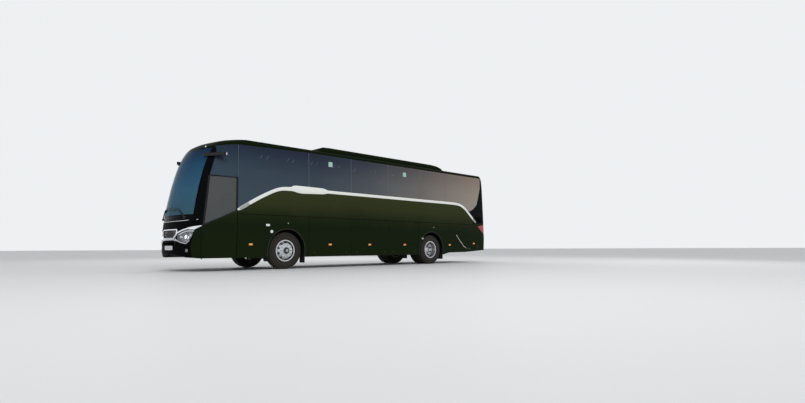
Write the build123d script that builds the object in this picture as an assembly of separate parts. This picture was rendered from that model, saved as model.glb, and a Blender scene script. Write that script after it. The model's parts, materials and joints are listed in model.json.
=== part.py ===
from build123d import *
import math
import os

# Two-axle touring coach. Millimetres.
# While modelling, X runs back from the front axle, Y to the coach's right and Z up from the road.
# Each saved piece is shifted so that the origin is under the middle of the whole coach.

# Driving sizes of the coach
WHEELBASE = 6080
FRONT_OVERHANG = 2810
REAR_OVERHANG = 3405
HALF_WIDTH = 1275
HEIGHT = 3770
ROOF_CROWN_Z = 3590
WALL = 45
GLASS = 10
GAP = 6
SEAT_GAP = 0.3

NOSE_X = -FRONT_OVERHANG
TAIL_X = WHEELBASE + REAR_OVERHANG
TRIM_PROUD = 8
MIDDLE_X = (NOSE_X - TRIM_PROUD + TAIL_X) / 2

# Cross-section of the side wall: heights, and how far each lies inside the full half width
SKIRT_Z = 340
SKIRT_INSET = 23
FLARE_Z = 700
WAIST_Z = 1150
CANTRAIL_Z = 3430
CANTRAIL_INSET = 70
ROOF_CORNER_IN = 185
ROOF_CORNER_Z = 3552

# Ends in plan
NOSE_BOW_RADIUS = 2800
NOSE_CORNER_RADIUS = 480
TAIL_BOW_RADIUS = 6000
TAIL_CORNER_RADIUS = 150
PLAN_MARGIN = 5

# How far cutting prisms start inside the side wall and reach past the body
SIDE_CUT_Y = 300
OUTSIDE = 200

# Seams along the side
PILLAR_SEAM_X = -1515
BUMPER_SEAM_X = -2440
ARCH_SEAM_X = 734
BAY_PITCH = 1606
REAR_ARCH_SEAM_X = WHEELBASE - 680
PANE_SEAM_BEHIND_AXLE = 850
TAIL_SEAM_X = TAIL_X - 305
FLAP_SEAM_Z = 1505
WINDOW_SEAM_Z = 2478
ROOF_SEAM_Z = 3435
MASK_TOP_Z = 1290
BUMPER_TOP_Z = 760
TAIL_BUMPER_Z = 560

# Floors
HOLD_FLOOR_Z = 380
COCKPIT_FLOOR_Z = 900
COCKPIT_TOP_Z = 930
CABIN_FLOOR_Z = 1340
FLOOR_THICKNESS = 40
PLATE = 20
FLOOR_SIDE_Y = 1213
HOLD_SIDE_Y = 1198
SILL_INNER_Y = 1165
SILL_OUTER_Y = 1222

# Wheels
TYRE_RADIUS = 522
RIM_RADIUS = 286
RIM_OFFSET = 165
FRONT_WHEEL_Y = 1060
REAR_WHEEL_Y = 1085
KINGPIN_Y = 940
SPINDLE_RADIUS = 40
AXLE_END_RADIUS = 45
FRONT_ARCH_RADIUS = 605
REAR_ARCH_RADIUS = 640
ARCH_CENTRE_Z = 530
WHEELHOUSE_TOP = 1200
WHEELHOUSE_SKIN = 15

# Hinges
HINGE_PIN_RADIUS = 4
HINGE_BARREL_RADIUS = 6.5
PIN_CLEARANCE = 0.3


def side_half_width(z):
    """Half width of the body at a height, from the straight stretches of its side."""
    if z < FLARE_Z:
        return HALF_WIDTH - SKIRT_INSET * (FLARE_Z - z) / (FLARE_Z - SKIRT_Z)
    if z < WAIST_Z:
        return HALF_WIDTH
    return HALF_WIDTH - CANTRAIL_INSET * (z - WAIST_Z) / (CANTRAIL_Z - WAIST_Z)


def box(x0, x1, y0, y1, z0, z1):
    return Pos((x0 + x1) / 2, (y0 + y1) / 2, (z0 + z1) / 2) * Box(x1 - x0, y1 - y0, z1 - z0)


def rod(centre, axis, radius, length):
    """A cylinder on its centre along X, Y or Z."""
    turn = {"x": Rot(0, 90, 0), "y": Rot(90, 0, 0), "z": Rot(0, 0, 0)}[axis]
    return Pos(*centre) * turn * Cylinder(radius, length)


def outline(points, radii=0):
    if radii:
        return make_face(FilletPolyline(*points, radius=radii, close=True))
    return make_face(Polyline(*points, close=True))


def side_prism(face, y0, y1):
    """Extrude an outline drawn as (x, z) from y0 to y1."""
    return extrude(Pos(0, y1, 0) * (Plane.XZ * face), amount=y1 - y0)


def side_cut(face):
    """A prism through the right side wall, from an outline drawn as (x, z)."""
    return side_prism(face, SIDE_CUT_Y, HALF_WIDTH + OUTSIDE)


def front_prism(face, x0, x1):
    """Extrude an outline drawn as (y, z) from x0 to x1."""
    return extrude(Pos(x0, 0, 0) * (Plane.YZ * face), amount=x1 - x0)


def plan_prism(face, z0, z1):
    return extrude(Pos(0, 0, z0) * face, amount=z1 - z0)


def mirrored(shape):
    return mirror(shape, about=Plane.XZ)


# Outer form of the body

# Plan sections: height, set-back of the nose, set-back of the tail, share of an inset that goes down
SECTIONS = [
    (250, 75, 60, 0),
    (480, 20, 15, 0),
    (950, 0, 0, 0),
    (1400, 45, 5, 0),
    (1850, 115, 8, 0),
    (2250, 195, 12, 0),
    (2600, 282, 17, 0),
    (2850, 357, 22, 0),
    (3050, 433, 30, 0.1),
    (3200, 505, 40, 0.25),
    (3300, 570, 52, 0.4),
    (3380, 641, 70, 0.55),
    (3440, 745, 98, 0.7),
    (3490, 890, 138, 0.8),
    (3530, 1090, 200, 0.9),
    (3562, 1380, 300, 0.95),
    (3588, 1800, 450, 1),
    (3612, 2500, 760, 1),
]


def end_arcs(tip_x, half_width, bow_radius, corner_radius, back):
    """Points of one end in plan: end of the side, middle of the corner, end of the bow."""
    bow_x = tip_x + back * bow_radius
    corner_y = half_width - corner_radius
    reach = bow_radius - corner_radius
    corner_x = bow_x - back * math.sqrt(reach**2 - corner_y**2)
    ux = (corner_x - bow_x) / reach
    uy = corner_y / reach
    length = math.hypot(ux, uy + 1)
    side = (corner_x, half_width)
    middle = (corner_x + corner_radius * ux / length, corner_y + corner_radius * (uy + 1) / length)
    bow = (bow_x + bow_radius * ux, bow_radius * uy)
    return side, middle, bow


def plan_section(z, nose_x, tail_x, inset):
    half_width = side_half_width(z) + PLAN_MARGIN - inset
    ns, nm, nb = end_arcs(nose_x, half_width, NOSE_BOW_RADIUS - inset, NOSE_CORNER_RADIUS - inset, 1)
    ts, tm, tb = end_arcs(tail_x, half_width, TAIL_BOW_RADIUS - inset, TAIL_CORNER_RADIUS - inset, -1)

    def at(point, side):
        return (point[0], side * point[1], z)

    return make_face([
        ThreePointArc(at(nb, -1), (nose_x, 0, z), at(nb, 1)),
        ThreePointArc(at(nb, 1), at(nm, 1), at(ns, 1)),
        Line(at(ns, 1), at(ts, 1)),
        ThreePointArc(at(ts, 1), at(tm, 1), at(tb, 1)),
        ThreePointArc(at(tb, 1), (tail_x, 0, z), at(tb, -1)),
        ThreePointArc(at(tb, -1), at(tm, -1), at(ts, -1)),
        Line(at(ts, -1), at(ns, -1)),
        ThreePointArc(at(ns, -1), at(nm, -1), at(nb, -1)),
    ])


def cross_section(inset):
    """The body seen from the front, open below: straight sides, rounded roof corners, crowned roof."""
    cantrail_y = HALF_WIDTH - CANTRAIL_INSET - inset
    crown_y = HALF_WIDTH - ROOF_CORNER_IN - 0.7 * inset
    right = [
        (HALF_WIDTH - SKIRT_INSET - inset, SKIRT_Z - 240),
        (HALF_WIDTH - SKIRT_INSET - inset, SKIRT_Z),
        (HALF_WIDTH - inset, FLARE_Z),
        (HALF_WIDTH - inset, WAIST_Z),
        (cantrail_y, CANTRAIL_Z - 0.1 * inset),
    ]
    left = [(-y, z) for y, z in reversed(right)]
    corner_y = HALF_WIDTH - CANTRAIL_INSET - 25 - 0.8 * inset
    corner_z = (CANTRAIL_Z + ROOF_CORNER_Z) / 2 + 14 - 0.6 * inset
    corner = (corner_y, corner_z)
    shoulder = (crown_y, ROOF_CORNER_Z - inset)
    return make_face([
        Polyline(*right),
        ThreePointArc(right[-1], corner, shoulder),
        ThreePointArc(shoulder, (0, ROOF_CROWN_Z - inset), (-shoulder[0], shoulder[1])),
        ThreePointArc((-shoulder[0], shoulder[1]), (-corner[0], corner[1]), left[0]),
        Polyline(*left),
        Line(left[-1], right[0]),
    ])


forms = {}


def form(inset):
    """The whole body as a solid, its surface moved inwards by the inset."""
    if inset not in forms:
        plans = []
        for z, nose, tail, down in SECTIONS:
            along = inset * (1 - 0.6 * down)
            plans.append(plan_section(z - inset * down, NOSE_X + nose + along, TAIL_X - tail - along, inset))
        tube = front_prism(cross_section(inset), NOSE_X - OUTSIDE, TAIL_X + OUTSIDE)
        forms[inset] = loft(plans, ruled=True) & tube
    return forms[inset]


shells = {}
PROUD = 30


def shell(outer, inner):
    """The whole skin between two depths under the body's surface."""
    if (outer, inner) not in shells:
        shells[(outer, inner)] = form(outer) - form(inner)
    return shells[(outer, inner)]


def layer(prism, outer, inner):
    """What lies between two depths under the body's surface, within a prism."""
    return prism & shell(outer, inner)


def rebate(prism, depth):
    """A cut into the body's surface, as deep as a pane."""
    return prism & shell(-PROUD, depth)


def shrunk(face, amount):
    return offset(face, amount=-amount, kind=Kind.INTERSECTION)


pieces = {}


def keep(name, *solids):
    shape = Compound(children=[s for part in solids for s in part.solids()])
    pieces[name] = shape
    return shape


# Outlines on the sides, as (x, z)
ROOF_FRONT_Z = 3290
PILLAR_HEAD_X = -2060
PILLAR_FOOT_X = -2470
pillar_line = [(-2455, MASK_TOP_Z), (-2444, 1408), (-2301, 2343), (-2065, 3163),
               (PILLAR_HEAD_X, ROOF_FRONT_Z)]
COCKPIT_SILL_FRONT_Z = 1150
SEAM_RISE = 45

belt_line = [(-1510, 1595), (-560, 2160), (100, 2312), (WHEELBASE + 1070, 2292)]
belt_tail = [(WHEELBASE + 1439, 2280), (WHEELBASE + 1807, 2226), (WHEELBASE + 2056, 2100),
             (WHEELBASE + 2308, 1911), (WHEELBASE + 2692, 1581)]
belt_plate = [(130, 2300), (220, 2405), (1240, 2390), (1370, 2320), (1260, 2240), (1160, 2215), (330, 2215)]
BELT_HALF = 47
pane_seams = [PILLAR_SEAM_X] + [ARCH_SEAM_X + i * BAY_PITCH for i in range(4)]
pane_seams += [WHEELBASE + PANE_SEAM_BEHIND_AXLE]
PANE_TAIL_X = TAIL_X - 335

cockpit_window = [(-2404, 1178), (-2255, WINDOW_SEAM_Z - 4), (PILLAR_SEAM_X - 15, WINDOW_SEAM_Z),
                  (PILLAR_SEAM_X - 15, 1573)]
RIM_OF_PANE = 60


def side_panel(points, side, outer=0, inner=WALL, radii=0):
    """A panel of one side wall: side is -1 for the left wall and 1 for the right one."""
    face = outline(points, radii)
    prism = side_cut(face)
    shape = layer(prism, outer, inner)
    return mirrored(shape) if side < 0 else shape


def seam_z(x):
    """Height of the seam over the lower panels: level, rising a little forward, then down to the nose."""
    if x > ARCH_SEAM_X:
        return FLAP_SEAM_Z
    if x > PILLAR_SEAM_X:
        return FLAP_SEAM_Z + SEAM_RISE * (ARCH_SEAM_X - x) / (ARCH_SEAM_X - PILLAR_SEAM_X)
    top = FLAP_SEAM_Z + SEAM_RISE
    return top - (top - COCKPIT_SILL_FRONT_Z) * (PILLAR_SEAM_X - x) / (PILLAR_SEAM_X - BUMPER_SEAM_X)


# Side windows: flush panes over the pillars, with their lower edge under the belt strip
def pane_outline(index):
    if index < 5:
        x0 = pane_seams[index] + 3
        x1 = pane_seams[index + 1] - 3
        lower = [p for p in belt_line if x0 < p[0] < x1]
        low0 = belt_height(x0)
        low1 = belt_height(x1)
        return [(x0, roof_height(x0)), (x0, low0)] + lower + [(x1, low1), (x1, roof_height(x1))]
    x0 = pane_seams[5] + 3
    lower = [belt_line[-1]] + belt_tail[:3]
    return [(x0, roof_height(x0)), (x0, belt_height(x0))] + lower + [
        (WHEELBASE + 2310, 2031), (WHEELBASE + 2560, 2140), (WHEELBASE + 2790, 2330),
        (WHEELBASE + 2905, 2620), (PANE_TAIL_X - 30, 3000), (PANE_TAIL_X, roof_height(x0))]


def belt_height(x):
    points = belt_line
    for (xa, za), (xb, zb) in zip(points, points[1:]):
        if xa <= x <= xb:
            return za + (zb - za) * (x - xa) / (xb - xa)
    return points[0][1] if x < points[0][0] else points[-1][1]


ROOF_SEAM_DROOP = 59


def roof_height(x):
    """Lower edge of the roof panel, which droops a little towards the windscreen."""
    if x > ARCH_SEAM_X:
        return ROOF_SEAM_Z
    return ROOF_SEAM_Z - ROOF_SEAM_DROOP * (ARCH_SEAM_X - x) / (ARCH_SEAM_X - PILLAR_SEAM_X)


quarter_x = PILLAR_SEAM_X - 15
quarter_pane = [(-2238, WINDOW_SEAM_Z + 8), (-2056, 3163), (PILLAR_HEAD_X + 10, ROOF_FRONT_Z),
                (quarter_x, roof_height(quarter_x)), (quarter_x, WINDOW_SEAM_Z + 8)]
pane_faces = [pane_outline(i) for i in range(6)]

front_door = [(-2434, SKIRT_Z + 5), (-2434, 1160), (-2406, 1408), (-2264, 2343), (-2224, WINDOW_SEAM_Z + 6),
              (PILLAR_SEAM_X - GAP, WINDOW_SEAM_Z + 6),
              (PILLAR_SEAM_X - GAP, SKIRT_Z + 5)]
MID_DOOR_X = 4500
MID_DOOR_HALF = 450
MID_DOOR_TOP = 2215
MID_LEAF_HALF = MID_DOOR_HALF - GAP
mid_door = [(MID_DOOR_X - MID_LEAF_HALF, SKIRT_Z + 5), (MID_DOOR_X - MID_LEAF_HALF, MID_DOOR_TOP - GAP),
            (MID_DOOR_X + MID_LEAF_HALF, MID_DOOR_TOP - GAP), (MID_DOOR_X + MID_LEAF_HALF, SKIRT_Z + 5)]


def sill(x0, x1, seam):
    """The rail that stands on the floor's edge and carries the side frame above the seam."""
    floor_top = CABIN_FLOOR_Z + FLOOR_THICKNESS
    rail = outline([
        (SILL_INNER_Y, floor_top), (FLOOR_SIDE_Y, floor_top), (FLOOR_SIDE_Y, seam + 4),
        (SILL_OUTER_Y, seam + 4), (SILL_OUTER_Y, seam + 35), (SILL_INNER_Y, seam + 35)])
    return front_prism(rail, x0, x1)


def side_frame(side):
    """Upper side wall: belt panel, window posts and sill, with the window openings cut."""
    top = [pillar_line[-1], (PILLAR_SEAM_X, roof_height(PILLAR_SEAM_X)), (ARCH_SEAM_X, ROOF_SEAM_Z),
           (TAIL_SEAM_X, ROOF_SEAM_Z)]
    bottom = [(TAIL_SEAM_X, FLAP_SEAM_Z), (ARCH_SEAM_X, FLAP_SEAM_Z), (PILLAR_SEAM_X, seam_z(PILLAR_SEAM_X)),
              (BUMPER_SEAM_X, COCKPIT_SILL_FRONT_Z), (PILLAR_FOOT_X, COCKPIT_SILL_FRONT_Z)]
    face = outline(list(reversed(pillar_line)) + list(reversed(bottom)) + list(reversed(top)))
    wall = layer(side_cut(face), 0, WALL)
    cockpit = [cockpit_window] if side < 0 else []
    for points in pane_faces + [quarter_pane] + cockpit:
        pane = outline(points)
        wall -= rebate(side_cut(pane), GLASS)
        wall -= side_cut(shrunk(pane, RIM_OF_PANE))
    wall += sill(PILLAR_SEAM_X + 70, ARCH_SEAM_X, FLAP_SEAM_Z + SEAM_RISE)
    wall += sill(ARCH_SEAM_X, TAIL_SEAM_X - 30, FLAP_SEAM_Z)
    if side > 0:
        for points in (front_door, mid_door):
            hole = offset(outline(points), amount=GAP, kind=Kind.INTERSECTION)
            hole = outline_down(hole)
            wall -= side_cut(hole)
    return mirrored(wall) if side < 0 else wall


def outline_down(face):
    """A doorway: its outline, and all that lies below it."""
    low = face.bounding_box()
    return face + Pos((low.min.X + low.max.X) / 2, SKIRT_Z) * Rectangle(low.max.X - low.min.X, 200)


def panes(side):
    faces = pane_faces + [quarter_pane] + ([cockpit_window] if side < 0 else [])
    solids = []
    for points in faces:
        solids.append(layer(side_cut(shrunk(outline(points), 2)), 0, GLASS))
    return [mirrored(s) if side < 0 else s for s in solids]


# Belt strip: a bright moulding, drawn as a band about its centre line
def belt_strip(side):
    upper = [(x, z + BELT_HALF) for x, z in belt_line + belt_tail]
    lower = [(x, z - BELT_HALF) for x, z in belt_line + belt_tail]
    upper[0] = (belt_line[0][0], belt_line[0][1] + BELT_HALF * 0.7)
    lower[0] = (belt_line[0][0], belt_line[0][1] - BELT_HALF * 0.7)
    for i in range(5, 9):
        upper[i] = (upper[i][0] + 18, upper[i][1] - 8)
        lower[i] = (lower[i][0] - 18, lower[i][1] + 8)
    upper[-1] = (belt_tail[-1][0] + 22, belt_tail[-1][1] + 16)
    lower[-1] = (belt_tail[-1][0] - 22, belt_tail[-1][1] - 16)
    band = outline(upper + list(reversed(lower)))
    strip = layer(side_cut(band + outline(belt_plate)), -TRIM_PROUD, 0)
    return mirrored(strip) if side < 0 else strip


# Lower side panels, fixed ones
def arch_cut(x, radius):
    return rod((x, HALF_WIDTH, ARCH_CENTRE_Z), "y", radius, 700) + box(
        x - radius, x + radius, HALF_WIDTH - 350, HALF_WIDTH + 350, 0, ARCH_CENTRE_Z)


engine_flap = [(WHEELBASE + 1371, 1114), (WHEELBASE + 1848, 1279), (WHEELBASE + 2780, 1460),
               (WHEELBASE + 2929, 569), (WHEELBASE + 1955, 533)]


def lower_panels(side):
    solids = []
    if side < 0:
        nose_end = PILLAR_SEAM_X - 2
        nose = [(BUMPER_SEAM_X, SKIRT_Z), (BUMPER_SEAM_X, COCKPIT_SILL_FRONT_Z), (nose_end, seam_z(nose_end)),
                (nose_end, SKIRT_Z)]
        solids.append(side_panel(nose, 1))
    start = PILLAR_SEAM_X + 2
    front = [(start, SKIRT_Z), (start, seam_z(start)), (ARCH_SEAM_X, FLAP_SEAM_Z), (ARCH_SEAM_X, SKIRT_Z)]
    solids.append(side_panel(front, 1) - arch_cut(0, FRONT_ARCH_RADIUS))
    rear_start = REAR_ARCH_SEAM_X if side < 0 else MID_DOOR_X + MID_DOOR_HALF
    rear = [(rear_start, SKIRT_Z), (rear_start, FLAP_SEAM_Z), (TAIL_SEAM_X, FLAP_SEAM_Z),
            (TAIL_SEAM_X, 480), (WHEELBASE + 1950, 415), (WHEELBASE + 1000, 404), (WHEELBASE + 700, SKIRT_Z)]
    hole = offset(outline(engine_flap), amount=GAP, kind=Kind.INTERSECTION)
    rear_panel = side_panel(rear, 1) - arch_cut(WHEELBASE, REAR_ARCH_RADIUS)
    rear_panel -= side_cut(hole)
    solids.append(rear_panel - tail_lamp_prism(SEAT_GAP))
    if side > 0:
        post_start = ARCH_SEAM_X + 2 * BAY_PITCH + 3
        post_end = MID_DOOR_X - MID_DOOR_HALF
        post = [(post_start, SKIRT_Z), (post_start, FLAP_SEAM_Z), (post_end, FLAP_SEAM_Z),
                (post_end, SKIRT_Z)]
        solids.append(side_panel(post, 1))
    return [mirrored(s) if side < 0 else s for s in solids]


tail_lamp = [(WHEELBASE + 2812, 1446), (TAIL_X + 100, 1560), (TAIL_X + 100, 1040), (WHEELBASE + 3255, 1063)]


def tail_lamp_prism(grow=0):
    face = outline(tail_lamp)
    if grow:
        face = offset(face, amount=grow, kind=Kind.INTERSECTION)
    return side_prism(face, 1000 - grow, HALF_WIDTH + OUTSIDE)


# Luggage flaps and engine side flaps, hung at their top edge on two short hinges
def flap_hinges(x0, x1, z, tilt=0):
    """Knuckles of the frame, pins of the flap and the notches that free them, on a line along X."""
    knuckles = []
    pins = []
    notches = []
    y = side_half_width(z) + 1
    for x in (x0 + 160, x1 - 160):
        knuckle = rod((x, y, z), "x", HINGE_BARREL_RADIUS, 60)
        knuckle += box(x - 30, x + 30, y - 22, y, z - 3, z + 3)
        knuckle += box(x - 30, x + 30, y - 22, y - 14, z - 3, z + 24)
        knuckles.append(knuckle - rod((x, y, z), "x", HINGE_PIN_RADIUS + PIN_CLEARANCE, 70))
        pin = rod((x, y, z), "x", HINGE_PIN_RADIUS, 110)
        for end in (-1, 1):
            lug = rod((x + end * 46, y, z), "x", HINGE_BARREL_RADIUS, 20)
            pin += lug + box(x + end * 46 - 10, x + end * 46 + 10, y - 20, y, z - 20, z - 2)
        pins.append(pin)
        notches.append(box(x - 36, x + 36, y - 40, y + 20, z - 9, z + 30))
    return knuckles, pins, notches


def luggage_flap(x0, x1):
    top = FLAP_SEAM_Z - GAP
    points = [(x0 + 3, SKIRT_Z), (x0 + 3, top), (x1 - 3, top), (x1 - 3, SKIRT_Z)]
    skin = side_panel(points, 1)
    knuckles, pins, notches = flap_hinges(x0, x1, FLAP_SEAM_Z - 12)
    for notch in notches:
        skin -= notch
    for pin in pins:
        skin += pin
    return skin, knuckles


# Engine side flap, hung on a line along its sloping top edge
def engine_side_flap():
    skin = side_panel(engine_flap, 1)
    (x0, z0), (x1, z1) = engine_flap[1], engine_flap[2]
    middle = ((x0 + x1) / 2, (z0 + z1) / 2)
    slope = math.degrees(math.atan2(z1 - z0, x1 - x0))
    span = math.hypot(x1 - x0, z1 - z0)
    y = side_half_width(middle[1]) + 1
    place = Pos(middle[0], y, middle[1] - GAP) * Rot(0, -slope, 0)
    knuckles = []
    for x in (-span / 2 + 140, span / 2 - 140):
        barrel = rod((x, 0, 0), "x", HINGE_BARREL_RADIUS, 60)
        barrel += box(x - 30, x + 30, -14, 0, 0, 5) + box(x - 30, x + 30, -22, -8, 0, 30)
        knuckles.append(place * (barrel - rod((x, 0, 0), "x", HINGE_PIN_RADIUS + PIN_CLEARANCE, 70)))
        skin -= place * box(x - 36, x + 36, -60, 20, -9, 40)
        pin = rod((x, 0, 0), "x", HINGE_PIN_RADIUS, 110)
        for end in (-1, 1):
            pin += rod((x + end * 46, 0, 0), "x", HINGE_BARREL_RADIUS, 20)
            pin += box(x + end * 46 - 10, x + end * 46 + 10, -20, 0, -20, -2)
        skin += place * pin
    return skin, knuckles


# Engine lid at the back
LID_HALF = 880
LID_TOP_Z = 1440
SLOT_PITCH = 42
SLOT_COUNT = 8


def lid_face(inset):
    """Outline of the engine lid's opening, drawn in by the inset on every side."""
    height = LID_TOP_Z - TAIL_BUMPER_Z
    return Pos(0, TAIL_BUMPER_Z + height / 2) * Rectangle(2 * (LID_HALF - inset), height - 2 * inset)


def engine_lid():
    skin = layer(front_prism(lid_face(GAP), TAIL_SEAM_X, TAIL_CLIP_X), 0, WALL)
    for i in range(SLOT_COUNT):
        z = LID_TOP_Z - 160 - i * SLOT_PITCH
        skin -= box(TAIL_SEAM_X, TAIL_X + 50, -620, 620, z - 9, z + 9)
    knuckles = []
    x = TAIL_X - 7
    z = LID_TOP_Z - 12
    for y in (-260, 260):
        barrel = rod((x, y, z), "y", HINGE_BARREL_RADIUS, 60) + box(x - 8, x, y - 30, y + 30, z, z + 5)
        barrel += box(x - 26, x - 8, y - 30, y + 30, z, z + 30)
        knuckles.append(barrel - rod((x, y, z), "y", HINGE_PIN_RADIUS + PIN_CLEARANCE, 70))
        skin -= box(x - 60, x + 20, y - 36, y + 36, z - 9, z + 30)
        pin = rod((x, y, z), "y", HINGE_PIN_RADIUS, 110)
        for end in (-1, 1):
            pin += rod((x, y + end * 46, z), "y", HINGE_BARREL_RADIUS, 20)
            pin += box(x - 24, x, y + end * 46 - 10, y + end * 46 + 10, z - 20, z - 2)
        skin += pin
    return skin, knuckles


# Roof, nose and tail
NOSE_CLIP_X = NOSE_X - OUTSIDE
TAIL_CLIP_X = TAIL_X + OUTSIDE
NOSE_BACK_X = -2200
WINDSCREEN_GLASS = 12
WINDSCREEN_BACK_X = -1700
SCREEN_TOP_Z = ROOF_FRONT_Z - 3
windscreen_half = [(0, 1425), (1025, 1425), (1020, 2350), (960, 3030), (955, SCREEN_TOP_Z),
                   (0, SCREEN_TOP_Z)]
WIDE = 1400


def both_halves(half):
    """Close an outline that is drawn for y above nought by its mirror image."""
    inner = [p for p in half if p[0] > 0]
    return inner + [(-y, z) for y, z in reversed(inner)]


def roof():
    seam_front = (PILLAR_SEAM_X, roof_height(PILLAR_SEAM_X))
    region = outline([(NOSE_CLIP_X, ROOF_FRONT_Z), pillar_line[-1], seam_front, (ARCH_SEAM_X, ROOF_SEAM_Z),
                      (TAIL_CLIP_X, ROOF_SEAM_Z), (TAIL_CLIP_X, HEIGHT), (NOSE_CLIP_X, HEIGHT)])
    return layer(side_prism(region, -WIDE, WIDE), 0, WALL)


def front_frame():
    region = outline([(NOSE_CLIP_X, MASK_TOP_Z)] + pillar_line + [(NOSE_CLIP_X, ROOF_FRONT_Z)])
    ring = layer(side_prism(region, -WIDE, WIDE), 0, WALL)
    glass = outline(both_halves(windscreen_half))
    ring -= rebate(front_prism(glass, NOSE_CLIP_X, WINDSCREEN_BACK_X), WINDSCREEN_GLASS)
    ring -= front_prism(shrunk(glass, 40), NOSE_CLIP_X, WINDSCREEN_BACK_X)
    return ring


def windscreen():
    glass = shrunk(outline(both_halves(windscreen_half)), 2)
    return layer(front_prism(glass, NOSE_CLIP_X, WINDSCREEN_BACK_X), 0, WINDSCREEN_GLASS)


mask_half = [(1300, MASK_TOP_Z), (1300, 1164), (1200, 1150), (1095, 1060), (1069, 903), (992, 653),
             (1026, 300)]
lamp_half = [(500, 960), (700, 1035), (893, 1078), (1088, 1060), (1044, 903), (950, 790), (855, 730),
             (640, 765), (500, 812)]
brow_half = [(486, 1012), (700, 1072), (893, 1118), (1080, 1150), (1205, 1172), (1190, 1142), (1088, 1064),
             (893, 1082), (700, 1039), (486, 968)]
ring_half = [(470, 1092), (500, 1050), (486, 935), (330, 805)]
mesh_half = [(425, 1066), (452, 1040), (440, 962), (300, 866)]
lip_half = [(330, 800), (480, 786), (640, 738), (855, 704), (985, 790), (960, 788), (855, 726), (640, 761),
            (496, 806), (440, 850)]
LOW_SLOT_Z = 720
LOW_SLOT = (1000, 60)
FOG_Y = 859
FOG_Z = 540
FOG_RADIUS = 48
LAMP_DEPTH = 40


def nose_cut(face):
    """A prism through the nose, from an outline drawn as (y, z)."""
    return front_prism(face, NOSE_CLIP_X, NOSE_BACK_X)


def nose_zone(face, outer, inner):
    return layer(nose_cut(face), outer, inner)


def nose_shell():
    region = outline([(NOSE_CLIP_X, 475), (NOSE_X - 20, 475), (-2620, 362), (BUMPER_SEAM_X, SKIRT_Z),
                      (BUMPER_SEAM_X, COCKPIT_SILL_FRONT_Z), (PILLAR_FOOT_X, COCKPIT_SILL_FRONT_Z),
                      pillar_line[0], (NOSE_CLIP_X, MASK_TOP_Z)])
    return layer(side_prism(region, -WIDE, WIDE), 0, WALL)


def both_sides(face):
    return face + mirror(face, about=Plane.YZ)


def nose_pieces():
    shell = nose_shell()
    black = nose_cut(outline(both_halves(mask_half)))
    corners = shell - black
    centre = shell & black
    mask = centre & box(NOSE_CLIP_X, NOSE_BACK_X, -WIDE, WIDE, BUMPER_TOP_Z, MASK_TOP_Z)
    bumper = centre & box(NOSE_CLIP_X, NOSE_BACK_X, -WIDE, WIDE, 200, BUMPER_TOP_Z)
    lamps = both_sides(outline(lamp_half))
    fogs = both_sides(Pos(FOG_Y, FOG_Z) * Circle(FOG_RADIUS))
    ring = outline(both_halves(ring_half))
    mesh = outline(both_halves(mesh_half))
    mask -= nose_cut(lamps)
    bumper -= nose_cut(lamps)
    corners -= nose_cut(lamps)
    bumper -= nose_cut(fogs)
    mask -= nose_cut(mesh)
    bumper -= nose_cut(Pos(0, LOW_SLOT_Z) * Rectangle(*LOW_SLOT))
    lenses = nose_zone(shrunk(outline(lamp_half), 1), 0, LAMP_DEPTH)
    fog_lens = nose_zone(Pos(FOG_Y, FOG_Z) * Circle(FOG_RADIUS - 1), 0, LAMP_DEPTH)
    chrome = nose_zone(ring - mesh, -10, 0)
    for half in (brow_half, lip_half):
        trim = nose_zone(outline(half), -TRIM_PROUD, 0)
        chrome += trim
        chrome += mirrored(trim)
    slats = nose_zone(mesh, 34, WALL)
    for i in range(5):
        slats += nose_zone(Pos(0, 892 + 40 * i) * Rectangle(2000, 12) & mesh, 4, 34)
    return corners, mask, bumper, [lenses, mirrored(lenses), fog_lens, mirrored(fog_lens)], chrome, slats


tail_window_half = [(990, 2130), (1000, 2500), (960, 3180)]


def tail_pieces():
    region = outline([(TAIL_SEAM_X, TAIL_BUMPER_Z), (TAIL_SEAM_X, ROOF_SEAM_Z), (TAIL_CLIP_X, ROOF_SEAM_Z),
                      (TAIL_CLIP_X, TAIL_BUMPER_Z)])
    wall = layer(side_prism(region, -WIDE, WIDE), 0, WALL)
    lamp = tail_lamp_prism(SEAT_GAP)
    wall -= lamp
    wall -= mirrored(lamp)
    pane = rebate(side_cut(outline(pane_faces[5])), GLASS)
    wall -= pane
    wall -= mirrored(pane)
    wall -= front_prism(lid_face(0), TAIL_SEAM_X, TAIL_CLIP_X)
    window = outline(both_halves(tail_window_half))
    wall -= rebate(front_prism(window, TAIL_SEAM_X, TAIL_CLIP_X), GLASS)
    wall -= front_prism(shrunk(window, RIM_OF_PANE), TAIL_SEAM_X, TAIL_CLIP_X)
    glass = layer(front_prism(shrunk(window, 2), TAIL_SEAM_X, TAIL_CLIP_X), 0, GLASS)
    low = outline([(TAIL_SEAM_X, 480), (TAIL_SEAM_X, TAIL_BUMPER_Z), (TAIL_CLIP_X, TAIL_BUMPER_Z),
                   (TAIL_CLIP_X, 510)])
    bumper = layer(side_prism(low, -WIDE, WIDE), 0, WALL)
    lens = layer(tail_lamp_prism(), 0, WALL)
    return wall, glass, bumper, [lens, mirrored(lens)]


ROOF_UNIT_FRONT_X = 1240
ROOF_UNIT_TAIL_X = 7080
ROOF_UNIT_BASE_Z = 3500
ROOF_UNIT_HALF = 985


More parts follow.
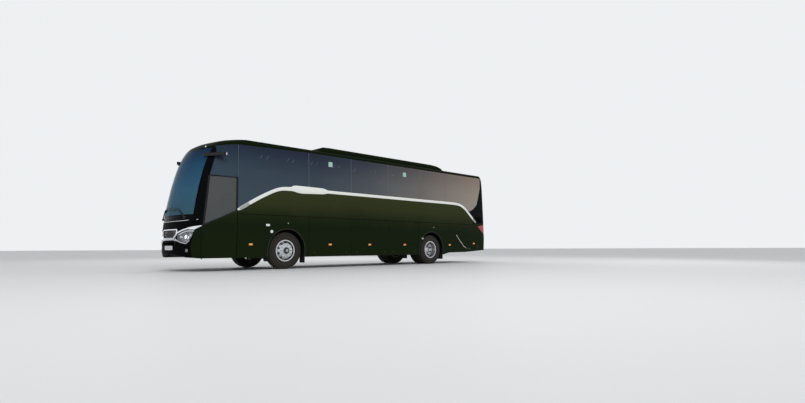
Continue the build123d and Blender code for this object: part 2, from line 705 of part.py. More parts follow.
def roof_unit():
    """Air unit on the roof: a wide flat box, steep in front and rounded off behind."""
    front = ROOF_UNIT_FRONT_X
    tail = ROOF_UNIT_TAIL_X
    half = ROOF_UNIT_HALF
    along = outline([(front, ROOF_UNIT_BASE_Z), (front, 3610), (front + 50, 3690), (front + 200, 3745),
                     (front + 500, HEIGHT), (tail - 780, HEIGHT), (tail - 520, 3755), (tail - 280, 3712),
                     (tail - 100, 3650), (tail, 3580), (tail, ROOF_UNIT_BASE_Z)])
    across = outline(both_halves([(half, ROOF_UNIT_BASE_Z), (half - 5, 3650), (half - 30, 3730),
                                  (half - 95, HEIGHT - 4), (half - 400, HEIGHT)]))
    block = side_prism(along, -WIDE, WIDE) & front_prism(across, front - 50, tail + 50)
    return block - form(0)


CAMERA_ARM_LOW_Z = 2995
CAMERA_ARM_HEIGHT = 77


def camera_arm():
    plan = outline([(-2330, 900), (-2230, 880), (-1925, 1395), (-1950, 1450), (-2010, 1445)], [20] * 5)
    return plan_prism(plan, CAMERA_ARM_LOW_Z, CAMERA_ARM_LOW_Z + CAMERA_ARM_HEIGHT) - form(0)


WIPER_PIVOT_Z = 1390
WIPER_BASE_RADIUS = 26
WIPER_LIFT = 8


def wiper(pivot_y, elbow, tip):
    """Arm from a round base up to its elbow, and the blade from there, both a little off the glass."""
    pivot = (pivot_y, WIPER_PIVOT_Z)
    face = Pos(*elbow) * Circle(13)
    for start, end, width in ((pivot, elbow, 20), (elbow, tip, 26)):
        length = math.dist(start, end)
        turn = math.degrees(math.atan2(end[1] - start[1], end[0] - start[0]))
        middle = ((start[0] + end[0]) / 2, (start[1] + end[1]) / 2)
        face += Pos(*middle) * Rot(0, 0, turn) * Rectangle(length, width)
    base = Pos(*pivot) * Circle(WIPER_BASE_RADIUS)
    return nose_zone(face, -PROUD, -WIPER_LIFT) + nose_zone(base, -PROUD, 0)


# Floors and frame
RAIL_HALF = 40
FRONT_RAIL_Y = 420
STAIR_FRONT_X = -2330
STAIR_SIDE_Y = 1170
FRONT_DOOR_CLEAR_Y = 1125
REAR_RAIL_Y = 400
REAR_RAIL_Z = 900
REAR_RAIL_DEPTH = 100
HOLD_START_X = 700
HOLD_PLATE = 30
STAIR_INNER_Y = 400
STEP_SPLIT_Y = 470
RAIL_DEPTH = 110
RAIL_FRONT_X = -2500
MID_WELL_HALF = 440
MID_WELL_Y = 430
POST_COLLAR_RADIUS = 40


def cabin_floor():
    """Sheets of the saloon's floor and of the cockpit's, the step between them, and both stairs."""
    top = CABIN_FLOOR_Z + FLOOR_THICKNESS
    step_x = PILLAR_SEAM_X + 40
    well_start = MID_DOOR_X - MID_WELL_HALF
    well_end = MID_DOOR_X + MID_WELL_HALF
    well_y = MID_WELL_Y + PLATE
    sheets = []
    for x0, x1, y1 in ((step_x, well_start, FLOOR_SIDE_Y), (well_start, well_end, well_y),
                       (well_end, TAIL_SEAM_X - 40, FLOOR_SIDE_Y)):
        sheets.append(box(x0, x1, -FLOOR_SIDE_Y, y1, CABIN_FLOOR_Z, top))
    sheets.append(box(step_x, step_x + PLATE, -HOLD_SIDE_Y, STEP_SPLIT_Y, COCKPIT_FLOOR_Z, CABIN_FLOOR_Z))
    sheets.append(box(step_x, step_x + PLATE, STEP_SPLIT_Y, HOLD_SIDE_Y, HOLD_FLOOR_Z, CABIN_FLOOR_Z))
    door_x = BUMPER_SEAM_X - 30
    for x0, x1, y1 in ((NOSE_X, door_x, WIDE), (door_x, STAIR_FRONT_X, FRONT_DOOR_CLEAR_Y),
                       (STAIR_FRONT_X, step_x, STAIR_INNER_Y)):
        sheets.append(box(x0, x1, -WIDE, y1, COCKPIT_FLOOR_Z, COCKPIT_TOP_Z) & form(WALL))
    sheets += stair(STAIR_FRONT_X, step_x, STAIR_SIDE_Y, [
        (880, HOLD_FLOOR_Z), (640, 640), (STAIR_INNER_Y, COCKPIT_FLOOR_Z)], COCKPIT_FLOOR_Z)
    sheets += stair(well_start, well_end, HOLD_SIDE_Y, [
        (960, HOLD_FLOOR_Z), (705, 700), (well_y, 1020)], top)
    post = (FRONT_PIVOT_X, DOOR_PIVOT_Y, (COCKPIT_FLOOR_Z + COCKPIT_TOP_Z) / 2)
    shelf = box(STAIR_FRONT_X, FRONT_PIVOT_X, DOOR_PIVOT_Y - POST_COLLAR_RADIUS, DOOR_PIVOT_Y + 30,
                COCKPIT_FLOOR_Z, COCKPIT_TOP_Z)
    shelf += rod(post, "z", POST_COLLAR_RADIUS, COCKPIT_TOP_Z - COCKPIT_FLOOR_Z)
    sheets.append(shelf - rod(post, "z", DOOR_POST_RADIUS + PIN_CLEARANCE, 60))
    return sheets


STEP_THICKNESS = 25
RISER_THICKNESS = 18


def stair(x0, x1, outer_y, treads, top_z):
    """Treads and risers as sheets. Each tread is its inner edge and its height, from the door inwards."""
    sheets = []
    next_heights = [z for y, z in treads[1:]] + [top_z]
    for (y, z), next_z in zip(treads, next_heights):
        sheets.append(box(x0, x1, y, outer_y, z, z + STEP_THICKNESS))
        if next_z > z:
            sheets.append(box(x0, x1, y, y + RISER_THICKNESS, z + STEP_THICKNESS, next_z))
        outer_y = y + RISER_THICKNESS
    return sheets


def underframe():
    """Luggage hold between its bulkheads, the well of the middle stair, and the frame rails."""
    hold_end = REAR_ARCH_SEAM_X - 10
    rail_end = TAIL_SEAM_X - 60
    well_start = MID_DOOR_X - MID_WELL_HALF - PLATE
    well_end = MID_DOOR_X + MID_WELL_HALF + PLATE
    bulkheads = [HOLD_START_X, ARCH_SEAM_X + BAY_PITCH - 10, ARCH_SEAM_X + 2 * BAY_PITCH - 10,
                 hold_end - PLATE]
    sheets = []
    for x in bulkheads:
        sheets.append(box(x, x + PLATE, -HOLD_SIDE_Y, HOLD_SIDE_Y, HOLD_FLOOR_Z, CABIN_FLOOR_Z))
    for x0, x1, y1 in ((bulkheads[0] + PLATE, bulkheads[1], HOLD_SIDE_Y),
                       (bulkheads[1] + PLATE, bulkheads[2], HOLD_SIDE_Y),
                       (bulkheads[2] + PLATE, well_start, HOLD_SIDE_Y),
                       (well_start, well_end, MID_WELL_Y),
                       (well_end, bulkheads[3], HOLD_SIDE_Y)):
        sheets.append(box(x0, x1, -HOLD_SIDE_Y, y1, HOLD_FLOOR_Z, HOLD_FLOOR_Z + HOLD_PLATE))
    for x in (well_start, well_end - PLATE):
        sheets.append(box(x, x + PLATE, MID_WELL_Y, HOLD_SIDE_Y, HOLD_FLOOR_Z, CABIN_FLOOR_Z))
    sheets.append(box(well_start + PLATE, well_end - PLATE, MID_WELL_Y, MID_WELL_Y + PLATE, HOLD_FLOOR_Z,
                      CABIN_FLOOR_Z))
    rail_low = COCKPIT_FLOOR_Z - RAIL_DEPTH
    rear_top = REAR_RAIL_Z + REAR_RAIL_DEPTH
    for side in (-1, 1):
        y0 = side * FRONT_RAIL_Y - RAIL_HALF
        sheets.append(box(RAIL_FRONT_X, HOLD_START_X, y0, y0 + 2 * RAIL_HALF, rail_low, COCKPIT_FLOOR_Z))
        y0 = side * REAR_RAIL_Y - RAIL_HALF
        sheets.append(box(hold_end, rail_end, y0, y0 + 2 * RAIL_HALF, REAR_RAIL_Z, rear_top))
        sheets.append(box(rail_end - PLATE, rail_end, y0, y0 + 2 * RAIL_HALF, rear_top, CABIN_FLOOR_Z))
    sheets.append(box(RAIL_FRONT_X - 40, RAIL_FRONT_X, -900, 900, rail_low, COCKPIT_FLOOR_Z))
    return sheets


def wheelhouse(x, half_length, inner_y, top_z):
    skin = WHEELHOUSE_SKIN
    outer = box(x - half_length - skin, x + half_length + skin, inner_y, WIDE, HOLD_FLOOR_Z, top_z + skin)
    return (outer & form(WALL)) - box(x - half_length, x + half_length, inner_y + skin, WIDE, 200, top_z)


FRONT_HOUSE_HALF = 625
FRONT_HOUSE_Y = 515
REAR_HOUSE_HALF = 675
REAR_HOUSE_Y = 545


def wheelhouses():
    """Four boxes round the wheels, each open to the axle on its inner side."""
    front = wheelhouse(0, FRONT_HOUSE_HALF, FRONT_HOUSE_Y, WHEELHOUSE_TOP)
    front -= box(-300, 300, 500, 560, 200, 800)
    rear = wheelhouse(WHEELBASE, REAR_HOUSE_HALF, REAR_HOUSE_Y, WHEELHOUSE_TOP + 40)
    rear -= box(WHEELBASE - 490, WHEELBASE + 490, 500, 600, 200, 700)
    return [front, mirrored(front), rear, mirrored(rear)]


MUDFLAP_THICKNESS = 8
MUDFLAP_LOW_Z = 165
MUDFLAP_TOP_Z = 440


def mudflaps():
    """A flap behind each wheel, given by where it hangs and its inner and outer edge."""
    solids = []
    for x, inner_y, outer_y in ((640, 930, 1195), (WHEELBASE + 690, 700, 1195)):
        flap = box(x, x + MUDFLAP_THICKNESS, inner_y, outer_y, MUDFLAP_LOW_Z, MUDFLAP_TOP_Z)
        solids += [flap, mirrored(flap)]
    return solids


# Wheels
def turned(points, x, y, out):
    """Revolve a profile drawn as (outward, radius) about a wheel's axis; out is the side it faces."""
    face = Plane.YZ * outline([(y + out * u, TYRE_RADIUS + r) for u, r in points])
    return revolve(Pos(x, 0, 0) * face, axis=Axis((x, 0, TYRE_RADIUS), (0, 1, 0)))


tyre_profile = [(117.5, RIM_RADIUS + 0.2), (117.5, 307), (129, 318), (140, 335), (147.5, 392), (145, 450),
                (134, 496), (122, 516), (110, TYRE_RADIUS)]
rim_barrel = [(-126, 306), (-118, 306), (-118, RIM_RADIUS), (118, RIM_RADIUS), (118, 306), (126, 306)]
rim_disc = [(126, 274), (60, 270), (90, 262), (120, 240), (148, 214), (RIM_OFFSET, 200), (RIM_OFFSET, 60),
            (RIM_OFFSET - 14, 60), (RIM_OFFSET - 14, 193), (136, 204), (106, 232), (76, 252), (40, 270),
            (-126, 274)]
HAND_HOLES = 10


def tyre(x, y):
    points = tyre_profile + [(-u, r) for u, r in reversed(tyre_profile)]
    return turned(points, x, y, 1)


def rim(x, y, out):
    body = turned(rim_barrel + rim_disc, x, y, out)
    for i in range(HAND_HOLES):
        turn = math.radians(360 * (i + 0.5) / HAND_HOLES)
        hole = (x + 232 * math.cos(turn), y + out * 120, TYRE_RADIUS + 232 * math.sin(turn))
        body -= rod(hole, "y", 27, 120)
    return body


def front_wheel():
    """Rim, hub and brake disc of the right front wheel, bored for the spindle."""
    y = FRONT_WHEEL_Y
    bore = SPINDLE_RADIUS + PIN_CLEARANCE
    face_y = y + RIM_OFFSET
    core = [(y - 62, bore), (y - 62, 215), (y - 30, 215), (y - 30, 105), (face_y - 10, 105), (face_y, 112),
            (face_y + 26, 96), (face_y + 26, 20), (y + 110, 20), (y + 110, bore)]
    return rim(0, y, 1) + turned(core, 0, 0, 1)


def rear_wheel():
    """The twin rims and their hub on the right, bored for the axle's end."""
    outer_y = REAR_WHEEL_Y
    inner_y = REAR_WHEEL_Y - 2 * RIM_OFFSET
    face_y = REAR_WHEEL_Y - RIM_OFFSET
    bore = AXLE_END_RADIUS + PIN_CLEARANCE
    core = [(face_y - 130, bore), (face_y - 130, 205), (face_y - 20, 205), (face_y - 20, 128),
            (face_y + 20, 128), (face_y + 60, 118), (face_y + 96, 98), (face_y + 108, 60), (face_y + 108, 20),
            (face_y + 80, 20), (face_y + 80, bore)]
    return rim(WHEELBASE, outer_y, -1) + rim(WHEELBASE, inner_y, 1) + turned(core, WHEELBASE, 0, 1)


KINGPIN_LOW = 335
KINGPIN_HIGH = 715
KINGPIN_RADIUS = 18
ARM_THICKNESS = 35
ARM_GAP = 6


def knuckle():
    length = KINGPIN_HIGH - KINGPIN_LOW
    centre = (0, KINGPIN_Y, KINGPIN_LOW + length / 2)
    body = rod(centre, "z", 38, length)
    body += rod(centre, "z", KINGPIN_RADIUS, length + 2 * (ARM_THICKNESS + ARM_GAP))
    reach = FRONT_WHEEL_Y + 100 - KINGPIN_Y
    body += rod((0, KINGPIN_Y + reach / 2, TYRE_RADIUS), "y", SPINDLE_RADIUS, reach)
    body += box(0, 200, KINGPIN_Y - 60, KINGPIN_Y - 25, 400, 430)
    return body


def front_suspension():
    parts = []
    for z in (KINGPIN_LOW - ARM_GAP - ARM_THICKNESS / 2, KINGPIN_HIGH + ARM_GAP + ARM_THICKNESS / 2):
        arm = outline([(-40, KINGPIN_Y), (40, KINGPIN_Y), (200, 470), (120, 460), (-120, 460), (-200, 470)])
        arm = plan_prism(arm, z - ARM_THICKNESS / 2, z + ARM_THICKNESS / 2)
        arm += rod((0, KINGPIN_Y, z), "z", 42, ARM_THICKNESS)
        parts.append(arm - rod((0, KINGPIN_Y, z), "z", KINGPIN_RADIUS + PIN_CLEARANCE, ARM_THICKNESS + 10))
    side = box(-260, 260, 400, 470, 270, COCKPIT_FLOOR_Z - RAIL_DEPTH)
    for arm in parts:
        side += arm
    return side + mirrored(side) + box(-130, 130, -410, 410, 300, 430)


SPRING_BEAM_Z = 572
JACK_PAD = 12


def rear_axle():
    x = WHEELBASE
    face_y = REAR_WHEEL_Y - RIM_OFFSET
    axle = rod((x, 0, TYRE_RADIUS), "y", 72, 2 * (face_y - 150))
    axle += rod((x, 0, TYRE_RADIUS), "y", AXLE_END_RADIUS, 2 * (face_y + 70))
    axle += rod((x, 0, TYRE_RADIUS), "x", 190, 330)
    for side in (-1, 1):
        y = side * REAR_RAIL_Y
        axle += box(x - 430, x + 430, y - 55, y + 55, SPRING_BEAM_Z, 640)
        axle += box(x + 180, x + 300, y - 45, y + 45, SPRING_BEAM_Z - JACK_PAD, SPRING_BEAM_Z)
        for along in (-340, 340):
            axle += rod((x + along, y, 770), "z", 110, 260)
    return axle


def engine_block():
    half_width = REAR_RAIL_Y - RAIL_HALF
    return box(WHEELBASE + 1500, WHEELBASE + 2800, -half_width, half_width, 480, 1250)


# Cockpit and cabin
def dashboard():
    along = outline([(NOSE_X + 20, COCKPIT_TOP_Z), (NOSE_X + 20, 1350), (-2560, 1390), (-2345, 1330),
                     (-2345, 1150), (-2420, COCKPIT_TOP_Z)])
    return side_prism(along, -1180, 820) & form(WALL)


WHEEL_RIM_RADIUS = 225
STEERING_X = -2230
STEERING_Y = -640
STEERING_Z = 1600
STEERING_TILT = 32
COLUMN_LENGTH = 340


def steering_wheel():
    place = Pos(STEERING_X, STEERING_Y, STEERING_Z) * Rot(0, STEERING_TILT, 0)
    ring = Torus(WHEEL_RIM_RADIUS, 16)
    spokes = Box(2 * WHEEL_RIM_RADIUS - 10, 40, 14) + Cylinder(60, 36)
    column = Pos(0, 0, -COLUMN_LENGTH / 2) * Cylinder(28, COLUMN_LENGTH)
    wheel = place * (ring + spokes + column)
    return wheel - dashboard()


SEAT_BASE_HEIGHT = 340
SEAT_BACK_HEIGHT = 1120
seat_profile = [(0, 400), (20, 470), (400, 450), (500, SEAT_BACK_HEIGHT), (600, SEAT_BACK_HEIGHT),
                (540, 400), (480, SEAT_BASE_HEIGHT), (40, SEAT_BASE_HEIGHT)]


def seat(x, y0, y1, floor):
    """One seat or pair of seats: pedestal, cushion and reclined back as one block."""
    profile = outline([(x + back, floor + up) for back, up in seat_profile])
    block = side_prism(profile, y0, y1)
    return block + box(x + 120, x + 420, y0 + 120, y1 - 120, floor, floor + SEAT_BASE_HEIGHT + 5)


DRIVER_SEAT_X = -2045
SEAT_PITCH = 800
SEAT_ROWS = 11
SEAT_START_X = -700
SEAT_WIDTH = 500
SEAT_LENGTH = 620
SEAT_OUTER_Y = 1140
AISLE_HALF = 240


def seats():
    floor = CABIN_FLOOR_Z + FLOOR_THICKNESS
    driver_y = STEERING_Y
    solids = [seat(DRIVER_SEAT_X, driver_y - SEAT_WIDTH / 2, driver_y + SEAT_WIDTH / 2, COCKPIT_TOP_Z)]
    for row in range(SEAT_ROWS):
        x = SEAT_START_X + row * SEAT_PITCH
        solids.append(seat(x, -SEAT_OUTER_Y, -AISLE_HALF, floor))
        if not MID_DOOR_X - MID_DOOR_HALF - SEAT_LENGTH < x < MID_DOOR_X + MID_DOOR_HALF:
            solids.append(seat(x, AISLE_HALF, SEAT_OUTER_Y, floor))
    return solids


def luggage_racks():
    tray = outline([(800, 3010), (850, 2975), (1300, 2950), (1300, 3090), (860, 3100), (800, 3070)])
    rack = front_prism(tray, -1350, TAIL_SEAM_X - 300) & form(WALL)
    return [rack, mirrored(rack)]


# Entrance doors on the right, each on a post with two curved arms that swing it out and along the side
DOOR_PIVOT_Y = 1120
DOOR_REACH = 550
ARM_ELBOW = (101, -217.5)
DOOR_POST_RADIUS = 20
DOOR_PIN_RADIUS = 10


def door_points(pivot_x, forward):
    """Pivot, elbow and eye of an arm in plan, for a door that swings towards forward."""
    pivot = (pivot_x, DOOR_PIVOT_Y)
    elbow = (pivot_x + forward * ARM_ELBOW[0], DOOR_PIVOT_Y + ARM_ELBOW[1])
    eye = (pivot_x + forward * DOOR_REACH, DOOR_PIVOT_Y)
    return pivot, elbow, eye


def door_arm(pivot_x, forward, low_z, high_z, arm_heights):
    pivot, elbow, eye = door_points(pivot_x, forward)
    arm = rod((pivot[0], pivot[1], (low_z + high_z) / 2), "z", DOOR_POST_RADIUS, high_z - low_z)
    for z in arm_heights:
        with BuildSketch() as bar:
            with BuildLine() as line:
                FilletPolyline(pivot, elbow, eye, radius=90)
            trace(line_width=36)
        arm += plan_prism(bar.sketch, z - 18, z + 18)
        arm += rod((pivot[0], pivot[1], z), "z", 32, 60)
        arm += rod((eye[0], eye[1], z), "z", 26, 36)
        arm -= rod((eye[0], eye[1], z), "z", DOOR_PIN_RADIUS + PIN_CLEARANCE, 60)
    return arm


def door_leaf(points, pane, eye, arm_heights):
    """Door with its window cut and the brackets that take the arms' eyes."""
    leaf = side_panel(points, 1)
    glass = outline(pane)
    leaf -= rebate(side_cut(glass), GLASS)
    leaf -= side_cut(shrunk(glass, 45))
    for z in arm_heights:
        for end in (-1, 1):
            z0 = z + end * 32
            bracket = box(eye[0] - 26, eye[0] + 26, eye[1], HALF_WIDTH - WALL + 5, z0 - 8, z0 + 8)
            bracket += rod((eye[0], eye[1], z0), "z", 26, 16)
            leaf += bracket & form(WALL - 5)
        leaf += rod((eye[0], eye[1], z), "z", DOOR_PIN_RADIUS, 80)
    return leaf


def door_pane(pane):
    return layer(side_cut(shrunk(outline(pane), 2)), 0, GLASS)


front_door_pane = [(-2404, 1060), (-2404, 1178), (-2380, 1408), (-2240, 2343), (-2207, WINDOW_SEAM_Z - 16),
                   (-1545, WINDOW_SEAM_Z - 16), (-1545, 1060)]
MID_PANE_HALF = MID_DOOR_HALF - 40
mid_door_pane = [(MID_DOOR_X - MID_PANE_HALF, 1190), (MID_DOOR_X - MID_PANE_HALF, MID_DOOR_TOP - 40),
                 (MID_DOOR_X + MID_PANE_HALF, MID_DOOR_TOP - 40), (MID_DOOR_X + MID_PANE_HALF, 1190)]
FRONT_PIVOT_X = -2200
MID_PIVOT_X = MID_DOOR_X + 240
FRONT_ARMS = (740, 975)
MID_ARMS = (760, 1060)


def post_bearing(pivot_x, z):
    """A bearing block on the side wall, over a doorway, that takes the top of an arm's post."""
    block = box(pivot_x - 30, pivot_x + 30, DOOR_PIVOT_Y, HALF_WIDTH, z, z + 40) + rod(
        (pivot_x, DOOR_PIVOT_Y, z + 20), "z", 36, 40)
    block = block & form(WALL)
    return block - rod((pivot_x, DOOR_PIVOT_Y, z + 20), "z", DOOR_POST_RADIUS + PIN_CLEARANCE, 60)


def blank_plates():
    return [nose_zone(Pos(0, 606) * Rectangle(520, 112), -TRIM_PROUD, 0)]


def about_middle(shape):
    """Shift a piece from the front axle's frame to the coach's own, by two mirror planes."""
    return mirror(mirror(shape, about=Plane.YZ.offset(-MIDDLE_X / 2)), about=Plane.YZ.offset(-MIDDLE_X))


def save(name, shape):
    export_step(about_middle(shape), os.path.join("parts", name + ".step"))


def build():
    corners, mask, bumper, front_lamps, chrome, slats = nose_pieces()
    tail_wall, tail_glass, tail_bumper, tail_lamps = tail_pieces()
    flap_x = [ARCH_SEAM_X, ARCH_SEAM_X + BAY_PITCH, ARCH_SEAM_X + 2 * BAY_PITCH, REAR_ARCH_SEAM_X]
    frame_right = side_frame(1)
    frame_left = mirrored(side_frame(-1))
    for i in range(3):
        skin, knuckles = luggage_flap(flap_x[i], flap_x[i + 1])
        keep("luggage_flap_left_" + str(i + 1), mirrored(skin))
        for knuckle_solid in knuckles:
            frame_left += knuckle_solid
        if i < 2:
            keep("luggage_flap_right_" + str(i + 1), skin)
            for knuckle_solid in knuckles:
                frame_right += knuckle_solid
    lower_left = lower_panels(-1)
    lower_right = lower_panels(1)
    flap, knuckles = engine_side_flap()
    keep("engine_flap_right", flap)
    keep("engine_flap_left", mirrored(flap))
    for knuckle_solid in knuckles:
        lower_right[1] += knuckle_solid
        lower_left[2] += mirrored(knuckle_solid)
    lid, knuckles = engine_lid()
    keep("engine_lid", lid)
    for knuckle_solid in knuckles:
        tail_wall += knuckle_solid
    frame_right += post_bearing(MID_PIVOT_X, MID_DOOR_TOP + 20)
    keep("side_frame_left", mirrored(frame_left))
    keep("side_frame_right", frame_right)
    keep("roof", roof())
    keep("front_frame", front_frame())
    keep("windscreen", windscreen())
    keep("front_mask", mask)
    keep("front_bumper", bumper)
    keep("bumper_corners", corners)
    keep("headlamps", *front_lamps)
    keep("grille_trim", chrome)
    keep("grille", slats)
    keep("side_windows_left", *panes(-1))
    keep("side_windows_right", *panes(1))
    keep("rear_wall", tail_wall)
    keep("rear_window", tail_glass)
    keep("rear_bumper", tail_bumper)
    keep("tail_lamps", *tail_lamps)
    keep("lower_panels_left", *lower_left)
    keep("lower_panels_right", *lower_right)
    keep("belt_strips", belt_strip(-1), belt_strip(1))
    keep("roof_unit", roof_unit())
    keep("camera_arms", camera_arm(), mirrored(camera_arm()))
    keep("wipers", wiper(-747, (-401, 1612), (474, 1660)), wiper(890, (545, 1640), (960, 1575)))
    keep("cabin_floor", *cabin_floor())
    keep("underframe", *underframe())
    keep("wheelhouses", *wheelhouses())
    keep("mudflaps", *mudflaps())
    keep("engine_block", engine_block())
    keep("front_suspension", front_suspension())
    keep("rear_axle", rear_axle())
    keep("dashboard", dashboard())
    keep("steering_wheel", steering_wheel())
    keep("seats", *seats())
    keep("luggage_racks", *luggage_racks())
    keep("number_plate", *blank_plates())
    keep("knuckle_right", knuckle())
    keep("knuckle_left", mirrored(knuckle()))
    inner_y = REAR_WHEEL_Y - 2 * RIM_OFFSET
    for name, tyres, wheel in (
            ("front", [tyre(0, FRONT_WHEEL_Y)], front_wheel()),
            ("rear", [tyre(WHEELBASE, REAR_WHEEL_Y), tyre(WHEELBASE, inner_y)], rear_wheel())):
        keep(name + "_tyre_right", *tyres)
        keep(name + "_tyre_left", *[mirrored(t) for t in tyres])
        keep(name + "_wheel_right", wheel)
        keep(name + "_wheel_left", mirrored(wheel))
    low_z = HOLD_FLOOR_Z + STEP_THICKNESS + SEAT_GAP
    for name, points, pane, pivot_x, forward, heights, high_z in (
            ("front_door", front_door, front_door_pane, FRONT_PIVOT_X, 1, FRONT_ARMS, FRONT_ARMS[1] + 30),
            ("mid_door", mid_door, mid_door_pane, MID_PIVOT_X, -1, MID_ARMS, MID_DOOR_TOP + 48)):
        eye = door_points(pivot_x, forward)[2]
        keep(name, door_leaf(points, pane, eye, heights))
        keep(name + "_glass", door_pane(pane))
        keep(name + "_arm", door_arm(pivot_x, forward, low_z, high_z, heights))


os.makedirs("parts", exist_ok=True)
build()
for piece_name, piece in pieces.items():
    save(piece_name, piece)
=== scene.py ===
import bpy
import json
import math
from mathutils import Matrix, Vector

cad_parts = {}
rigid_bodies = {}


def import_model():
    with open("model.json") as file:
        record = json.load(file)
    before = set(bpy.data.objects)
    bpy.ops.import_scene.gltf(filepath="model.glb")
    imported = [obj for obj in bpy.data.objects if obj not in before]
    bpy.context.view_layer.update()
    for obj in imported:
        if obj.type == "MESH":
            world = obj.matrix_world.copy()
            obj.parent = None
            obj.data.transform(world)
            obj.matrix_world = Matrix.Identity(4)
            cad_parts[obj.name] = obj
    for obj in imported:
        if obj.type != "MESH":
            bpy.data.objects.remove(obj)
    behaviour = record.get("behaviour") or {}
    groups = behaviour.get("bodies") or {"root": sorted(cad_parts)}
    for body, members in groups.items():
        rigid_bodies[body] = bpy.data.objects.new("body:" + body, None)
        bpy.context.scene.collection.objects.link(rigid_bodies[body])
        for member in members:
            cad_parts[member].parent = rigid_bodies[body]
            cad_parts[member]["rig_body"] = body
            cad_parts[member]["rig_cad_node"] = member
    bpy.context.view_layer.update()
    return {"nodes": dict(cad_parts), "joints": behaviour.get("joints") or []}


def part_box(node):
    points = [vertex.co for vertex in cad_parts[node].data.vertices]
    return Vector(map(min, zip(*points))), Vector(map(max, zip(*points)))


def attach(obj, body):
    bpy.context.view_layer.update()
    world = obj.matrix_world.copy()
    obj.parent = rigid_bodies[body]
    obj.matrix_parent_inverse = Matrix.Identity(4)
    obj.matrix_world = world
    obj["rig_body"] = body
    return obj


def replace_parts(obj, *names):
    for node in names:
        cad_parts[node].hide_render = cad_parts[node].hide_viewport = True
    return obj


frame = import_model()
nodes = frame["nodes"]
joints = {joint["name"]: joint for joint in frame["joints"]}
frontAxle = Vector(joints["roll_front_left"]["pos_m"])
rearAxle = Vector(joints["roll_rear_left"]["pos_m"])
print("frame loaded,", len(nodes), "nodes")

# Places along the coach are given from the front axle, backwards, in metres
cantrail = {"waistZ": 1.15, "topZ": 3.43, "lean": 0.07, "flareZ": 0.7, "skirtZ": 0.34, "tuck": 0.023,
            "halfWidth": 1.275}


def fromAxle(x):
    return x + frontAxle.x


def spot(x, y, z):
    return (fromAxle(x), y, z)


sides = ((-1, "left"), (1, "right"))


def sideY(z):
    # half width of the body at a height, on its straight stretch
    if z < cantrail["flareZ"]:
        share = (cantrail["flareZ"] - z) / (cantrail["flareZ"] - cantrail["skirtZ"])
        return cantrail["halfWidth"] - cantrail["tuck"] * share
    if z < cantrail["waistZ"]:
        return cantrail["halfWidth"]
    share = (z - cantrail["waistZ"]) / (cantrail["topZ"] - cantrail["waistZ"])
    return cantrail["halfWidth"] - cantrail["lean"] * share


# Shader sockets that add up like numbers
class Wire:
    def __init__(self, paint, socket):
        self.paint = paint
        self.socket = socket

    def sum(self, operation, other, swapped=False):
        first, second = (other, self) if swapped else (self, other)
        return self.paint.add("ShaderNodeMath", {"operation": operation}, {0: first, 1: second})

    def __add__(self, other):
        return self.sum("ADD", other)

    def __sub__(self, other):
        return self.sum("SUBTRACT", other)

    def __rsub__(self, other):
        return self.sum("SUBTRACT", other, True)

    def __mul__(self, other):
        return self.sum("MULTIPLY", other)

    def __truediv__(self, other):
        return self.sum("DIVIDE", other)

    def __gt__(self, other):
        return self.sum("GREATER_THAN", other)

    def __lt__(self, other):
        return self.sum("LESS_THAN", other)

    def __or__(self, other):
        return self.sum("MAXIMUM", other)

    def __abs__(self):
        return self.sum("ABSOLUTE", 0.0)

    __radd__ = __add__
    __rmul__ = __mul__


class Paint:
    # one material: its shader, and the few kinds of node that the finishes here use
    def __init__(self, name, colour, roughness=0.5, **fixed):
        self.material = bpy.data.materials.new(name)
        self.material.use_nodes = True
        self.tree = self.material.node_tree
        self.shader = self.tree.nodes["Principled BSDF"]
        self.put("Base Color", colour)
        self.put("Roughness", roughness)
        names = {"metallic": "Metallic", "coat": "Coat Weight", "specular": "Specular IOR Level",
                 "alpha": "Alpha", "sheen": "Sheen Weight", "glow": "Emission Strength", "ior": "IOR"}
        for key, value in fixed.items():
            self.put(names[key], value)

    def feed(self, socket, value):
        if isinstance(value, Wire):
            self.tree.links.new(value.socket, socket)
        elif isinstance(value, (tuple, list)) and len(value) == 3 and socket.type == "RGBA":
            socket.default_value = (*value, 1)
        else:
            socket.default_value = value

    def put(self, name, value):
        self.feed(self.shader.inputs[name], value)

    def add(self, kind, settings, values, out=0):
        node = self.tree.nodes.new(kind)
        for key, value in settings.items():
            if key == "stops":
                ramp = node.color_ramp
                while len(ramp.elements) < len(value):
                    ramp.elements.new(0.5)
                for element, (at, level) in zip(ramp.elements, value):
                    element.position = at
                    element.color = (*level, 1) if isinstance(level, tuple) else (level, level, level, 1)
            else:
                setattr(node, key, value)
        for key, value in values.items():
            self.feed(node.inputs[key], value)
        return Wire(self, node.outputs[out])

    def place(self):
        return self.add("ShaderNodeTexCoord", {}, {}, "Object")

    def axes(self):
        split = self.add("ShaderNodeSeparateXYZ", {}, {"Vector": self.place()})
        return split, Wire(self, split.socket.node.outputs[1]), Wire(self, split.socket.node.outputs[2])

    def stretched(self, scale):
        return self.add("ShaderNodeMapping", {}, {"Vector": self.place(), "Scale": scale})

    def noise(self, scale, detail, vector=None):
        return self.add("ShaderNodeTexNoise", {}, {"Vector": vector or self.place(), "Scale": scale,
                                                   "Detail": detail}, "Fac")

    def mix(self, factor, first, second):
        return self.add("ShaderNodeMix", {"data_type": "RGBA"}, {0: factor, 6: first, 7: second}, 2)

    def sine(self, value):
        return self.add("ShaderNodeMath", {"operation": "SINE"}, {0: value})

    def steps(self, value, stops):
        return self.add("ShaderNodeValToRGB", {"stops": stops}, {"Fac": value})

    def bump(self, height, strength, distance):
        self.put("Normal", self.add("ShaderNodeBump", {}, {"Height": height, "Strength": strength,
                                                           "Distance": distance}, "Normal"))


# Finishes of the coach. Each one is made once and shared
recipes = {}
finishes = {}


def finish(name):
    if name not in finishes:
        maker, values = recipes[name]
        finishes[name] = maker(*values)
    return finishes[name].material


